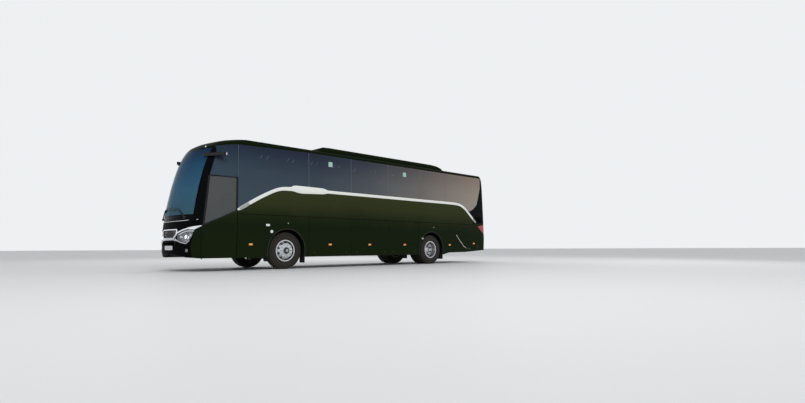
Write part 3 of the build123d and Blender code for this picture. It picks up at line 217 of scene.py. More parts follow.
def listed(name):
    def keep(maker):
        recipes[name] = (maker, ())
        return maker
    return keep


# the lit tone is a painted reflection of the sky on the upper side
greens = {"deep": (0.0034, 0.0098, 0.0025), "lit": (0.034, 0.040, 0.0145), "seam": (0.001, 0.002, 0.001)}
trimColours = {"black": (0.0026, 0.0032, 0.0038), "cabin": (0.03, 0.032, 0.035)}
panelSeams = {"upright": (-2.44, -1.515, 0.734, 2.34, 3.946, 5.4), "level": 1.505, "half": 0.008}


def band(value, middle, half):
    return (value > middle - half) * (value < middle + half)


def greenCoat(paint, seams=False):
    # deep green, with a painted reflection of the sky that makes it lighter and more olive between the flaps
    # and the belt and leaves the roof darkest
    x, y, z = paint.axes()
    cloud = paint.noise(0.55, 3)
    rise = paint.steps((z - 0.3) / 3.3 + 0.16 * cloud - 0.08, [
        (0.0, 0.20), (0.28, 0.10), (0.36, 0.30), (0.47, 0.85), (0.6, 1.0), (0.8, 0.6), (0.92, 0.12)])
    colour = paint.mix(rise, greens["deep"], greens["lit"])
    if seams:
        # dark bands along the panel seams: the joints' own dark line and dirt, with painted shade of the seam
        # gaps
        lines = band(z, panelSeams["level"], panelSeams["half"]) * (x > fromAxle(-1.515))
        for place in panelSeams["upright"]:
            lines = lines + band(x, fromAxle(place), panelSeams["half"]) * (z < panelSeams["level"])
        colour = paint.mix(lines, colour, greens["seam"])
    paint.put("Roughness", 0.13 + 0.09 * paint.noise(3.1, 4))
    paint.bump(paint.noise(38, 2), 0.03, 0.0006)
    return colour


def paintGreen(name, seams):
    paint = Paint(name, greens["deep"], 0.18, ior=1.1)
    paint.put("Base Color", greenCoat(paint, seams))
    return paint


recipes["green"] = (paintGreen, ("greenPaint", False))
recipes["panelGreen"] = (paintGreen, ("panelPaint", True))


@listed("tailWall")
def paintTailWall():
    # black round the rear window, green below the lamps
    paint = Paint("tailWallPaint", greens["deep"], 0.2, ior=1.12)
    x, y, z = paint.axes()
    paint.put("Base Color", paint.mix(z > 1.56, greenCoat(paint), trimColours["black"]))
    return paint


# Height of the boundary between green paint and dark glazing along the side, between two limits
beltEdge = {"low": 1.0, "high": 3.0, "points": (
    (-2.6, 1.1), (-2.404, 1.17), (-1.53, 1.573), (-1.51, 1.595), (-0.56, 2.16), (0.1, 2.312), (7.15, 2.292),
    (7.519, 2.28), (7.887, 2.226), (8.136, 2.1), (8.388, 1.911), (8.772, 1.58), (9.2, 1.56))}


@listed("sideWall")
def paintSideWall():
    # green below the belt, gloss black behind the glazing, grey cloth lining inside
    paint = Paint("sideWallPaint", greens["deep"], 0.2, ior=1.1)
    x, y, z = paint.axes()
    low, high, points = beltEdge["low"], beltEdge["high"], beltEdge["points"]
    start, end = fromAxle(points[0][0]), fromAxle(points[-1][0])
    line = paint.steps((x - start) / (end - start), [
        ((fromAxle(a) - start) / (end - start), (b - low) / (high - low)) for a, b in points])
    edge = line * (high - low) + low
    skin = cantrail["halfWidth"] - 0.016 - (z - cantrail["waistZ"]) * (
        cantrail["lean"] / (cantrail["topZ"] - cantrail["waistZ"]))
    outside = (abs(y) > skin) | (x < fromAxle(-2.05))
    colour = paint.mix(z > edge, greenCoat(paint, True), trimColours["black"])
    paint.put("Base Color", paint.mix(outside, trimColours["cabin"], colour))
    return paint


glassSizes = {"front": -2.4, "length": 11.9, "sillZ": 1.5, "height": 1.93, "cockpitX": -1.5, "cockpitZ": 2.4765,
              "border": 0.024, "tailX": 9.15, "doorX": 4.5, "doorHalf": 0.47, "doorTopZ": 2.25,
              "sill": (-2.404, 1.178, -1.53, 1.573), "pillar": (-2.404, 1.178, -2.255, 2.474)}
# Painted reflection in the tint along the side, from the front backwards: (share of the length, low colour,
# high colour)
reflectionTints = ((0.0, (0.042, 0.070, 0.097), (0.012, 0.024, 0.048)),
         (0.28, (0.045, 0.066, 0.088), (0.016, 0.021, 0.044)),
         (0.45, (0.090, 0.100, 0.112), (0.032, 0.040, 0.062)),
         (0.65, (0.17, 0.163, 0.155), (0.10, 0.088, 0.09)), (1.0, (0.35, 0.30, 0.25), (0.27, 0.205, 0.165)))


@listed("tinted")
def paintTinted():
    # blue-grey glass with a painted reflection that makes it greyer and warmer towards the back and darker at
    # the top, plain on the back and the mid door, and lighter grey with a dark printed border in the driver's
    # window
    paint = Paint("tintedGlass", (0.012, 0.016, 0.024), 0.04, ior=1.22, alpha=0.95)
    sizes = glassSizes
    x, y, z = paint.axes()
    cloud = paint.noise(0.5, 3)
    along = (x - fromAxle(sizes["front"])) / sizes["length"] + 0.10 * cloud - 0.05
    low, high = (paint.steps(along, [(tint[0], tint[i]) for tint in reflectionTints]) for i in (1, 2))
    share = paint.steps((z - sizes["sillZ"]) / sizes["height"] + 0.14 * cloud - 0.07, [
        (0.30, 0.0), (0.62, 0.25), (0.95, 1.0)])
    saloon = paint.mix(share, low, high)
    door = band(x, fromAxle(sizes["doorX"]), sizes["doorHalf"]) * (z < sizes["doorTopZ"]) * (y > 1.0)
    plain = (x > fromAxle(sizes["tailX"])) + door
    saloon = paint.mix(plain, saloon, paint.mix(cloud, (0.022, 0.027, 0.032), (0.046, 0.052, 0.058)))
    driver = (x < fromAxle(sizes["cockpitX"])) * (z < sizes["cockpitZ"]) * (y < 0)
    x0, z0, x1, z1 = sizes["sill"]
    overSill = z - (x - fromAxle(x0)) * ((z1 - z0) / (x1 - x0)) - z0
    x0, z0, x1, z1 = sizes["pillar"]
    behindPillar = x - (z - z0) * ((x1 - x0) / (z1 - z0)) - fromAxle(x0)
    edge = sizes["border"]
    clear = (overSill > edge * 1.2) * (behindPillar > edge) * (z < sizes["cockpitZ"] - edge) * (
        x < fromAxle(-1.53) - edge)
    pane = paint.mix(cloud, (0.078, 0.084, 0.085), (0.115, 0.12, 0.116))
    paint.put("Base Color", paint.mix(driver, saloon, paint.mix(clear, (0.006, 0.008, 0.010), pane)))
    paint.put("Alpha", 0.95 - 0.2 * (driver * clear))
    paint.put("Roughness", 0.03 + 0.03 * paint.noise(2.5, 3))
    return paint


screenSizes = {"halfWidth": 1.025, "lowZ": 1.46, "highZ": 3.24, "border": 0.03, "widening": 0.025,
               "cornerZ": 1.425, "startZ": 1.4, "height": 1.9}


@listed("windscreen")
def paintWindscreen():
    # blue, deeper towards the top, with a black printed border
    paint = Paint("windscreenGlass", (0.03, 0.07, 0.1), 0.03, ior=1.05, alpha=0.8)
    sizes = screenSizes
    x, y, z = paint.axes()
    edge = sizes["border"] + (z - sizes["cornerZ"]) * sizes["widening"]
    border = (abs(y) > sizes["halfWidth"] - edge) | (z < sizes["lowZ"]) | (z > sizes["highZ"])
    rise = paint.steps((z - sizes["startZ"]) / sizes["height"] + 0.2 * paint.noise(0.9, 4) - 0.1, [
        (0.0, (0.055, 0.135, 0.185)), (0.4, (0.045, 0.14, 0.225)), (0.75, (0.024, 0.09, 0.175)),
        (1.0, (0.009, 0.026, 0.065))])
    paint.put("Base Color", paint.mix(border, rise, (0.0025, 0.0025, 0.003)))
    paint.put("Alpha", 0.8 + 0.18 * border)
    return paint


def lens(name, colour, glow, scale):
    # moulded plastic with fine ribs
    paint = Paint(name, colour, 0.12, specular=0.6, coat=0.4, glow=glow)
    ribs = paint.add("ShaderNodeTexWave", {"wave_type": "BANDS", "bands_direction": "Z"},
                     {"Vector": paint.place(), "Scale": scale, "Distortion": 0.0}, "Fac")
    paint.put("Base Color", paint.mix(ribs, tuple(0.72 * c for c in colour), colour))
    paint.put("Emission Color", colour)
    paint.bump(ribs, 0.25, 0.002)
    return paint


def grained(name, colour, roughness, scale, strength=0.25):
    paint = Paint(name, colour, roughness, specular=0.35)
    cloud = paint.noise(3.2, 3)
    paint.put("Base Color", paint.mix(cloud, tuple(0.8 * c for c in colour), tuple(1.2 * c for c in colour)))
    paint.put("Roughness", roughness - 0.06 + 0.14 * cloud)
    paint.bump(paint.noise(scale, 4), strength, 0.0008)
    return paint


def clouded(name, colour, roughness, fixed, tones=None, dull=None, grain=None):
    # tones: (scale, detail, two colours), dull: (least, span, scale, detail),
    # grain: (scale, detail, strength, depth)
    paint = Paint(name, colour, roughness, **fixed)
    if tones:
        paint.put("Base Color", paint.mix(paint.noise(*tones[:2]), *tones[2:]))
    if dull:
        paint.put("Roughness", dull[0] + dull[1] * paint.noise(*dull[2:]))
    if grain:
        paint.bump(paint.noise(*grain[:2]), *grain[2:])
    return paint


recipes.update({name: (lens, (name, *values)) for name, values in {
    "redLens": ((0.34, 0.003, 0.008), 0.1, 40), "amberLens": ((0.85, 0.34, 0.06), 0.25, 90),
    "whiteLens": ((0.75, 0.77, 0.78), 0.3, 60)}.items()})
# paneJoint is a pale blue-grey as a painted reflection on the pane joints' chamfers
recipes.update({name: (grained, (name, *values)) for name, values in {
    "blackPlastic": ((0.008, 0.008, 0.0085), 0.5, 700), "paneJoint": ((0.12, 0.145, 0.18), 0.45, 200, 0.1),
    "archRubber": ((0.016, 0.022, 0.015), 0.6, 240), "hubPaint": ((0.035, 0.035, 0.038), 0.4, 90, 0.2),
    "flapRubber": ((0.018, 0.018, 0.018), 0.75, 240), "framePaint": ((0.022, 0.022, 0.024), 0.45, 60, 0.12),
    "castMetal": ((0.045, 0.045, 0.047), 0.6, 130, 0.4), "floorCover": ((0.06, 0.062, 0.068), 0.55, 420, 0.3),
    "cabinTrim": ((0.17, 0.17, 0.175), 0.55, 520), "darkTrim": ((0.03, 0.03, 0.032), 0.5, 520)}.items()})
recipes.update({name: (clouded, values) for name, values in {
    "roofGreen": ("roofPaint", greens["deep"], 0.35, {"ior": 1.05},
                  (0.8, 3, (0.0038, 0.0075, 0.0024), (0.0075, 0.012, 0.0042)), (0.28, 0.14, 3.1, 4)),
    "black": ("blackPaint", trimColours["black"], 0.16, {"ior": 1.08}, None, (0.12, 0.1, 5, 3),
              (40, 2, 0.02, 0.0005)),
    "blackMoulding": ("blackMoulding", trimColours["black"], 0.4, {"ior": 1.04},
                      (2.4, 3, (0.0022, 0.0025, 0.0027), (0.0045, 0.005, 0.005)), (0.34, 0.14, 6, 3),
                      (420, 3, 0.12, 0.0005)),
    "silver": ("silverPaint", (0.8, 0.81, 0.77), 0.28, {"coat": 0.3},
               (2.2, 3, (0.77, 0.78, 0.74), (0.84, 0.85, 0.8)), (0.25, 0.1, 9, 3)),
    "cabGlass": ("cabGlass", (0.06, 0.066, 0.068), 0.04, {"ior": 1.25, "alpha": 0.75},
                 (0.6, 3, (0.04, 0.05, 0.056), (0.075, 0.082, 0.084)), (0.03, 0.03, 2.5, 3)),
    "clear": ("clearLens", (0.6, 0.64, 0.68), 0.03, {"specular": 0.7, "alpha": 0.16}, None,
              (0.02, 0.03, 12, 2)),
    "glint": ("paneGlint", (0.3, 0.34, 0.38), 0.3, {"ior": 1.3}, (40, 2, (0.22, 0.26, 0.3), (0.4, 0.44, 0.48))),
    "chrome": ("chromeTrim", (0.82, 0.84, 0.86), 0.08, {"metallic": 1.0}, None, (0.06, 0.08, 7, 3)),
    "plate": ("plateFace", (0.66, 0.68, 0.7), 0.35, {"coat": 0.3},
              (16, 3, (0.6, 0.63, 0.66), (0.72, 0.73, 0.74))),
    "sticker": ("blankSticker", (0.35, 0.62, 0.5), 0.4, {"alpha": 0.92},
                (20, 2, (0.3, 0.56, 0.44), (0.4, 0.68, 0.55))),
    "whiteLabel": ("whiteLabel", (0.78, 0.8, 0.8), 0.4, {},
                   (30, 2, (0.72, 0.74, 0.75), (0.82, 0.83, 0.83)))}.items()})


@listed("lamp")
def paintLamp():
    paint = Paint("lampGlow", (0.9, 0.93, 1.0), 0.2, glow=1.6)
    paint.put("Emission Color", (0.9, 0.95, 1.0))
    paint.put("Roughness", 0.15 + 0.1 * paint.noise(60, 2))
    return paint


@listed("reflector")
def paintReflector():
    paint = Paint("reflector", (0.32, 0.32, 0.36), 0.12, metallic=1.0)
    facets = paint.add("ShaderNodeTexVoronoi", {}, {"Vector": paint.place(), "Scale": 55.0}, "Distance")
    paint.put("Roughness", 0.08 + 0.2 * facets)
    paint.bump(facets, 0.3, 0.003)
    return paint


# Painted shade in the tyre's creases, as dark rings: (radius, half span of the squared radius)
tyreShadeRings = ((0.312, 0.012), (0.45, 0.005))


@listed("tyre")
def paintTyre():
    # dusty rubber, with painted shade as dark rings in the creases beside the rim and below the shoulder
    paint = Paint("tyreRubber", (0.022, 0.021, 0.02), 0.8, specular=0.25)
    cloud = paint.noise(6, 4)
    x, y, z = paint.axes()
    across = x - (frontAxle.x + (rearAxle.x - frontAxle.x) * (x > 0))
    high = z - frontAxle.z
    square = across * across + high * high
    bead, shoulder = (band(square, radius ** 2, half) for radius, half in tyreShadeRings)
    dust = paint.mix(cloud, (0.018, 0.0155, 0.012), (0.036, 0.031, 0.024))
    paint.put("Base Color", paint.mix(bead + shoulder, dust, (0.006, 0.0055, 0.005)))
    paint.put("Roughness", 0.68 + 0.2 * cloud)
    paint.bump(paint.noise(300, 3), 0.2, 0.0008)
    return paint


# Wheels are dusty and painted darker as shade up to innerY from the middle of the coach, the front ones
# frontShift further out.
# The deep dish of the rear wheels is painted darker as shade up to dishY
wheelDustAndShade = {"innerY": 0.88, "frontShift": 0.26, "dishY": 0.96}


@listed("wheelMetal")
def paintWheelMetal():
    # bright outside, dark on the inner side with dust and painted shade
    paint = Paint("wheelMetal", (0.66, 0.67, 0.69), 0.25, metallic=1.0)
    cloud = paint.noise(9, 4)
    x, y, z = paint.axes()
    inner = abs(y) < wheelDustAndShade["innerY"] + wheelDustAndShade["frontShift"] * (x < 0)
    dish = (abs(y) < wheelDustAndShade["dishY"]) * (x > 0)
    bright = paint.mix(dish, paint.mix(cloud, (0.52, 0.53, 0.55), (0.74, 0.75, 0.76)), (0.3, 0.3, 0.31))
    paint.put("Base Color", paint.mix(inner, bright, (0.035, 0.032, 0.03)))
    paint.put("Roughness", 0.2 + 0.16 * cloud)
    paint.bump(paint.noise(160, 2), 0.05, 0.0004)
    return paint


@listed("steel")
def paintSteel():
    paint = Paint("brushedSteel", (0.5, 0.51, 0.52), 0.32, metallic=1.0)
    grain = paint.noise(40, 2, paint.stretched((1, 1, 18)))
    paint.put("Roughness", 0.24 + 0.2 * grain)
    paint.bump(grain, 0.06, 0.0004)
    return paint


@listed("seatCloth")
def paintSeatCloth():
    # woven cloth with a fine stripe along the seat
    paint = Paint("seatCloth", (0.03, 0.04, 0.07), 0.85, specular=0.2, sheen=0.3)
    x, y, z = paint.axes()
    weave = paint.sine(y * 1500) * paint.sine((z + x) * 1500)
    stripe = paint.sine(y * 90) > 0.93
    cloud = paint.noise(14, 3)
    colour = paint.mix(cloud, (0.022, 0.028, 0.05), (0.045, 0.055, 0.085))
    paint.put("Base Color", paint.mix(stripe, colour, (0.12, 0.13, 0.15)))
    paint.put("Roughness", 0.78 + 0.12 * cloud)
    paint.bump(weave, 0.35, 0.0006)
    return paint


@listed("leather")
def paintLeather():
    paint = Paint("blackLeather", (0.012, 0.012, 0.013), 0.42, specular=0.4)
    cells = paint.add("ShaderNodeTexVoronoi", {}, {"Vector": paint.place(), "Scale": 420.0}, "Distance")
    paint.put("Roughness", 0.36 + 0.2 * cells)
    paint.bump(cells, 0.3, 0.0006)
    return paint


@listed("screen")
def paintScreen():
    paint = Paint("instrumentScreen", (0.01, 0.02, 0.03), 0.1, specular=0.6, glow=0.25)
    x, y, z = paint.axes()
    lines = paint.sine(z * 420) > 0.8
    paint.put("Emission Color", paint.mix(lines, (0.01, 0.03, 0.05), (0.1, 0.3, 0.4)))
    return paint


# Modelling by hand: what is picked, and how a piece is settled on its body
def only(piece):
    deselect()
    piece.select_set(True)
    bpy.context.view_layer.objects.active = piece


def edit(piece, mode="VERT"):
    only(piece)
    bpy.ops.object.mode_set(mode="EDIT")
    bpy.ops.mesh.select_mode(type=mode)
    bpy.ops.mesh.select_all(action="SELECT")


def leave():
    bpy.ops.object.mode_set(mode="OBJECT")


def deselect():
    bpy.ops.object.select_all(action="DESELECT")


def applyPlace():
    bpy.ops.object.transform_apply(location=True, rotation=True, scale=True)


def modify(piece, kind, **settings):
    bpy.ops.object.modifier_add(type=kind)
    for key, value in settings.items():
        setattr(piece.modifiers[-1], key, value)
    bpy.ops.object.modifier_apply(modifier=piece.modifiers[-1].name)


def copyMesh(piece):
    # the copy of a frame piece stands alone, with a mesh of its own
    piece.data = piece.data.copy()
    piece.parent = None
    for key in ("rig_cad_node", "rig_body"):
        if key in piece:
            del piece[key]


def wrap(piece, look):
    piece.data.materials.clear()
    piece.data.materials.append(finish(look))


def pickFaces(piece, wanted):
    edit(piece, "FACE")
    bpy.ops.mesh.select_all(action="DESELECT")
    leave()
    for face in piece.data.polygons:
        face.select = bool(wanted(face))
    bpy.ops.object.mode_set(mode="EDIT")


def settle(piece, look, body="coach", angle=30, slotName=None):
    only(piece)
    applyPlace()
    if angle:
        bpy.ops.object.shade_smooth_by_angle(angle=math.radians(angle))
    wrap(piece, look)
    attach(piece, body)
    return piece


def named(name):
    piece = bpy.context.active_object
    piece.name = name
    piece.data.name = name
    return piece


def addBlock(name, low, high, bevel=0.0, segments=2):
    deselect()
    middle = [(a + b) / 2 for a, b in zip(low, high)]
    bpy.ops.mesh.primitive_cube_add(size=1, location=middle)
    piece = named(name)
    piece.scale = [abs(b - a) for a, b in zip(low, high)]
    applyPlace()
    if bevel:
        edit(piece)
        bpy.ops.mesh.bevel(offset=bevel, segments=segments, affect="EDGES")
        leave()
    return piece


turns = {"x": (0, math.pi / 2, 0), "y": (math.pi / 2, 0, 0), "z": (0, 0, 0)}


def addDrum(name, centre, axis, radius, depth, steps=32):
    deselect()
    bpy.ops.mesh.primitive_cylinder_add(vertices=steps, radius=radius, depth=depth, location=centre,
                                        rotation=turns[axis])
    piece = named(name)
    applyPlace()
    return piece


def addChain(name, points):
    # a line of vertices, drawn by extruding one vertex from point to point
    deselect()
    bpy.ops.mesh.primitive_plane_add(size=0.01, location=points[0])
    piece = named(name)
    applyPlace()
    edit(piece)
    bpy.ops.mesh.merge(type="CENTER")
    for before, after in zip(points, points[1:]):
        step = [b - a for a, b in zip(before, after)]
        bpy.ops.mesh.extrude_region_move(TRANSFORM_OT_translate={"value": step})
    leave()
    return piece


def addLathe(name, centre, profile, steps, axis="y"):
    # turn a profile of (along, radius) about an axis through the centre
    centre = Vector(centre)
    out = {"y": Vector((0, 1, 0)), "x": Vector((1, 0, 0)), "z": Vector((0, 0, 1))}[axis]
    up = Vector((1, 0, 0)) if axis == "z" else Vector((0, 0, 1))
    piece = addChain(name, [tuple(centre + out * u + up * r) for u, r in profile])
    edit(piece)
    bpy.ops.mesh.spin(steps=steps, angle=math.tau, center=centre, axis=out)
    bpy.ops.mesh.select_all(action="SELECT")
    bpy.ops.mesh.remove_doubles(threshold=0.00005)
    bpy.ops.mesh.normals_make_consistent(inside=False)
    leave()
    return piece


def addRod(name, points, radius, steps=3, smooth=False):
    # a round bar along a line of points
    piece = addChain(name, points)
    only(piece)
    bpy.ops.object.convert(target="CURVE")
    curve = bpy.context.active_object.data
    curve.bevel_depth = radius
    curve.bevel_resolution = steps
    curve.use_fill_caps = True
    if smooth:
        for spline in curve.splines:
            spline.type = "NURBS"
            spline.order_u = 3
            spline.use_endpoint_u = True
            spline.resolution_u = 6
    bpy.ops.object.convert(target="MESH")
    return named(name)


def copyOf(piece, name, move):
    # a copy with a mesh of its own, moved
    only(piece)
    bpy.ops.object.duplicate()
    twin = named(name)
    twin.data = twin.data.copy()
    edit(twin)
    bpy.ops.transform.translate(value=move)
    leave()
    return twin


def joined(name, parts):
    deselect()
    for part in parts:
        part.select_set(True)
    bpy.context.view_layer.objects.active = parts[0]
    if len(parts) > 1:
        bpy.ops.object.join()
    return named(name)


def group(name, parts, look, *place, **more):
    return settle(joined(name, parts), look, *place, **more)


def hit(sources, start, direction):
    # first point on these pieces along a ray, with its normal
    best = None
    for source in sources:
        found, place, normal, face = source.ray_cast(Vector(start), Vector(direction))
        if found and (best is None or (place - Vector(start)).length < (best[0] - Vector(start)).length):
            best = (place.copy(), normal.copy())
    return best


# Panels of the body: copies of the frame's own pieces, welded and smoothly shaded
def smoothCopy(name, look, angle=18):
    source = nodes[name]
    only(source)
    bpy.ops.object.duplicate()
    piece = named(name + "Skin")
    copyMesh(piece)
    edit(piece)
    bpy.ops.mesh.remove_doubles(threshold=0.00002)
    leave()
    only(piece)
    bpy.ops.object.shade_smooth_by_angle(angle=math.radians(angle))
    modify(piece, "WEIGHTED_NORMAL", keep_sharp=True)
    wrap(piece, look)
    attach(piece, source["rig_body"])
    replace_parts(piece, name)
    return piece


skins = {}
for look, slotName, names in (
        ("black", "black_paint", ("front_frame",)), ("windscreen", "windscreen_glass", ("windscreen",)),
        ("blackMoulding", "black_moulding", ("front_mask", "front_bumper")),
        ("green", "green_moulding", ("bumper_corners", "rear_bumper")), ("chrome", "chrome", ("grille_trim",)),
        ("roofGreen", "green_paint", ("roof",)), ("tailWall", "green_paint", ("rear_wall",)),
        ("tinted", "tinted_glass", ("rear_window", "side_windows_left", "side_windows_right",
                                    "mid_door_glass")),
        ("sideWall", "green_paint", ("side_frame_left", "side_frame_right")),
        ("panelGreen", "green_paint", ("lower_panels_left", "lower_panels_right")),
        ("green", "green_paint", ("front_door", "mid_door", "engine_lid")),
        ("cabGlass", "tinted_glass", ("front_door_glass",)), ("roofGreen", "green_moulding", ("roof_unit",)),
        ("blackPlastic", "black_plastic", ("camera_arms",)), ("redLens", "red_lens", ("tail_lamps",)),
        ("wheelMetal", "wheel_aluminium", ("front_wheel_left", "front_wheel_right", "rear_wheel_left",
                                           "rear_wheel_right"))):
    for name in names:
        skins[name] = smoothCopy(name, look)
print("body panels welded and painted")

# Frame pieces that keep their own shape and only get a finish
carried = {
    "green": ("luggage_flap_left_1", "luggage_flap_left_2", "luggage_flap_left_3", "luggage_flap_right_1",
              "luggage_flap_right_2", "engine_flap_left", "engine_flap_right"),
    "clear": ("headlamps",), "blackPlastic": ("grille", "wipers", "wheelhouses"), "flapRubber": ("mudflaps",),
    "framePaint": ("underframe", "front_suspension"),
    "castMetal": ("rear_axle", "engine_block", "knuckle_left", "knuckle_right"),
    "steel": ("front_door_arm", "mid_door_arm"), "floorCover": ("cabin_floor",), "darkTrim": ("dashboard",),
    "cabinTrim": ("luggage_racks",), "leather": ("steering_wheel",), "seatCloth": ("seats",),
    "plate": ("number_plate",)}
for look, names in carried.items():
    for name in names:
        wrap(nodes[name], look)

# Tyres: sidewall, shoulder and grooved tread, turned about the axle, with cross cuts on the drive tyres
tyreSizes = {"radius": 0.522, "width": 0.295, "halfTread": 0.11, "grooveDepth": 0.013, "steps": 240,
             "grooves": ((0.073, 0.006), (0.026, 0.0065)), "cutPitch": 8, "cutDepth": 0.008,
             "cutFrom": 0.018, "cutShift": 0.045}


def addTyre(name, centre, drive):
    r = tyreSizes["radius"]
    side = [(0.1175, 0.2862), (0.1175, 0.3055), (0.1215, 0.309), (0.1285, 0.3165), (0.1335, 0.321),
            (0.1385, 0.334), (0.1425, 0.352), (0.1462, 0.374), (0.1473, 0.392), (0.1478, 0.3945),
            (0.1473, 0.397), (0.1468, 0.420), (0.1452, 0.444), (0.1462, 0.4475), (0.1448, 0.451),
            (0.141, 0.472), (0.136, 0.490), (0.1375, 0.4925), (0.1345, 0.4975), (0.1285, 0.5075),
            (0.1215, 0.5155), (tyreSizes["halfTread"], r)]
    deep = r - tyreSizes["grooveDepth"]
    crown = []
    for middle, half in tyreSizes["grooves"]:
        crown += [(middle + half, r), (middle + half * 0.6, deep), (middle - half * 0.6, deep),
                  (middle - half, r)]
    half = side + crown
    profile = half + [(-u, h) for u, h in reversed(half)]
    piece = addLathe(name, centre, profile, tyreSizes["steps"])
    if drive:
        pitch, depth = tyreSizes["cutPitch"], tyreSizes["cutDepth"]
        middle = Vector(centre)
        for vertex in piece.data.vertices:
            arm = vertex.co - middle
            high = math.hypot(arm.x, arm.z)
            step = round(math.atan2(arm.x, arm.z) / math.tau * tyreSizes["steps"])
            shift = 0 if abs(arm.y) < tyreSizes["cutShift"] else pitch // 2
            if high > r - 0.009 and (step + shift) % pitch == 0 and abs(arm.y) > tyreSizes["cutFrom"]:
                vertex.co = middle + arm * (1 - depth / high) + Vector((0, arm.y * depth / high, 0))
    return piece


for side, sign in (("left", -1), ("right", 1)):
    lowCorner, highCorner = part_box("front_tyre_" + side)
    centre = (lowCorner + highCorner) / 2
    tyre = addTyre("frontTyre_" + side, centre, False)
    settle(tyre, "tyre", "front_wheel_" + side, 28)
    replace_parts(tyre, "front_tyre_" + side)
    lowCorner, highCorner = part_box("rear_tyre_" + side)
    centre = (lowCorner + highCorner) / 2
    width = tyreSizes["width"]
    outerY = lowCorner.y + width / 2 if sign < 0 else highCorner.y - width / 2
    innerY = highCorner.y - width / 2 if sign < 0 else lowCorner.y + width / 2
    pair = [addTyre("rearTyreOuter", (centre.x, outerY, centre.z), True),
            addTyre("rearTyreInner", (centre.x, innerY, centre.z), True)]
    twin = group("rearTyres_" + side, pair, "tyre", "rear_wheels_" + side, 28)
    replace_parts(twin, "rear_tyre_" + side)
print("tyres turned")


# Small pieces along the sides. Each place is (along, height) on the flat of the side wall
strips = {"seams": (0.734, 2.34, 3.946, 5.552, 6.93), "cockpit": (-1.515, 2.492, 3.365), "gap": 0.05,
          "width": 0.01, "thick": 0.004, "topZ": 3.425}
arches = {"places": ((0.0, 0.605, 0.345), (6.08, 0.64, 0.4)), "z": 0.53, "startZ": 0.345, "lip": 0.013}
markers = {"places": ((-1.124, 0.695, "coach"), (1.494, 0.695, "luggage_flap_{}_1"),
                      (3.076, 0.695, "luggage_flap_{}_2"), None, (7.092, 0.695, "coach"),
                      (8.578, 0.75, "engine_flap_{}")),
           "left": (4.68, 0.695, "luggage_flap_left_3"), "right": (5.12, 0.695, "coach"),
           "size": (0.105, 0.05), "base": (0.135, 0.072)}


def beltHeight(x):
    for (xa, za), (xb, zb) in zip(beltEdge["points"], beltEdge["points"][1:]):
        if xa <= x <= xb:
            return za + (zb - za) * (x - xa) / (xb - xa)


def leanAt(z, side):
    slope = (sideY(z + 0.01) - sideY(z - 0.01)) / 0.02
    return -side * math.atan(slope)


def addBadge(name, x, z, size, thick, side, corner=0.0):
    # a thin block lying on the side wall
    deselect()
    place = spot(x, side * (sideY(z) + thick / 2 - 0.001), z)
    bpy.ops.mesh.primitive_cube_add(size=1, location=place, rotation=(leanAt(z, side), 0, 0))
    piece = named(name)
    piece.scale = (size[0], thick, size[1])
    applyPlace()
    if corner:
        edit(piece)
        bpy.ops.mesh.bevel(offset=corner, segments=2, affect="EDGES")
        leave()
    return piece


def onSide(names, x, z, side, lift):
    # the point of the side's skin at a place, also where the side turns into the nose or the tail
    found = hit([skins[name] for name in names], spot(x, side * 3.0, z), (0, -side, 0))
    if found is None:
        return Vector(spot(x, side * (sideY(z) + lift), z))
    return found[0] + found[1] * lift


def addSkinLine(name, names, points, side, radius, lift, step=0.12):
    # a round bead that follows the skin from point to point and closes on itself
    points = list(points) + [points[0]]
    line = []
    for (xa, za), (xb, zb) in zip(points, points[1:]):
        count = max(1, int(math.hypot(xb - xa, zb - za) / step))
        for i in range(count):
            share = i / count
            line.append(onSide(names, xa + (xb - xa) * share, za + (zb - za) * share, side, lift))
    line.append(onSide(names, *points[-1], side, lift))
    return addRod(name, [tuple(p) for p in line], radius, 2)


for side, word in sides:
    joints = [strips["cockpit"]]
    joints += [(x, beltHeight(x) + strips["gap"], strips["topZ"]) for x in strips["seams"]]
    # pane joints: gaskets in a pale grey that is a painted reflection on their chamfers
    seams = [addBadge("seam", x, (low + high) / 2, (strips["width"], high - low), strips["thick"], side)
             for x, low, high in joints]
    group("paneSeams_" + word, seams, "paneJoint")
    for i, place in enumerate(markers["places"]):
        x, z, body = place or markers[word]
        body = body.format(word)
        base = addBadge("markerBase_" + word + str(i), x, z, markers["base"], 0.01, side, 0.003)
        settle(base, "blackPlastic", body)
        glass = addBadge("markerLens_" + word + str(i), x, z, markers["size"], 0.022, side, 0.006)
        settle(glass, "amberLens", body)
    for i, (x, radius, endZ) in enumerate(arches["places"]):
        points = [(x - radius, arches["startZ"])]
        points += [(x + radius * math.cos(math.radians(a)), arches["z"] + radius * math.sin(math.radians(a)))
                   for a in range(180, -1, -9)]
        points.append((x + radius, endZ))
        line = [spot(px, side * (sideY(pz) - 0.002), pz) for px, pz in points]
        lip = addRod("archLip_" + word + str(i), line, arches["lip"], 2)
        settle(lip, "archRubber", angle=60)
print("seams, side lamps and arch lips set")

# Labels, filler lids, blank stickers and locks
labels = {"plates": ((-0.615, 1.229, 0.115, 0.06), (5.595, 0.921, 0.085, 0.05)),
          "round": (-0.497, 1.052, 0.042), "dots": ((0.024, 1.299), (6.209, 1.334)),
          "stickers": ((1.53, 3.167), (4.754, 3.167)), "sticker": 0.15, "lockZ": 0.46,
          "lockInset": 0.2, "engineLocks": ((8.2, 0.6), (8.85, 0.64))}


def addLocks(name, body, places, side):
    locks = [addDrum("lock", spot(x, side * (sideY(z) + 0.001), z), "y", 0.016, 0.01, 20) for x, z in places]
    group(name, locks, "hubPaint", body)


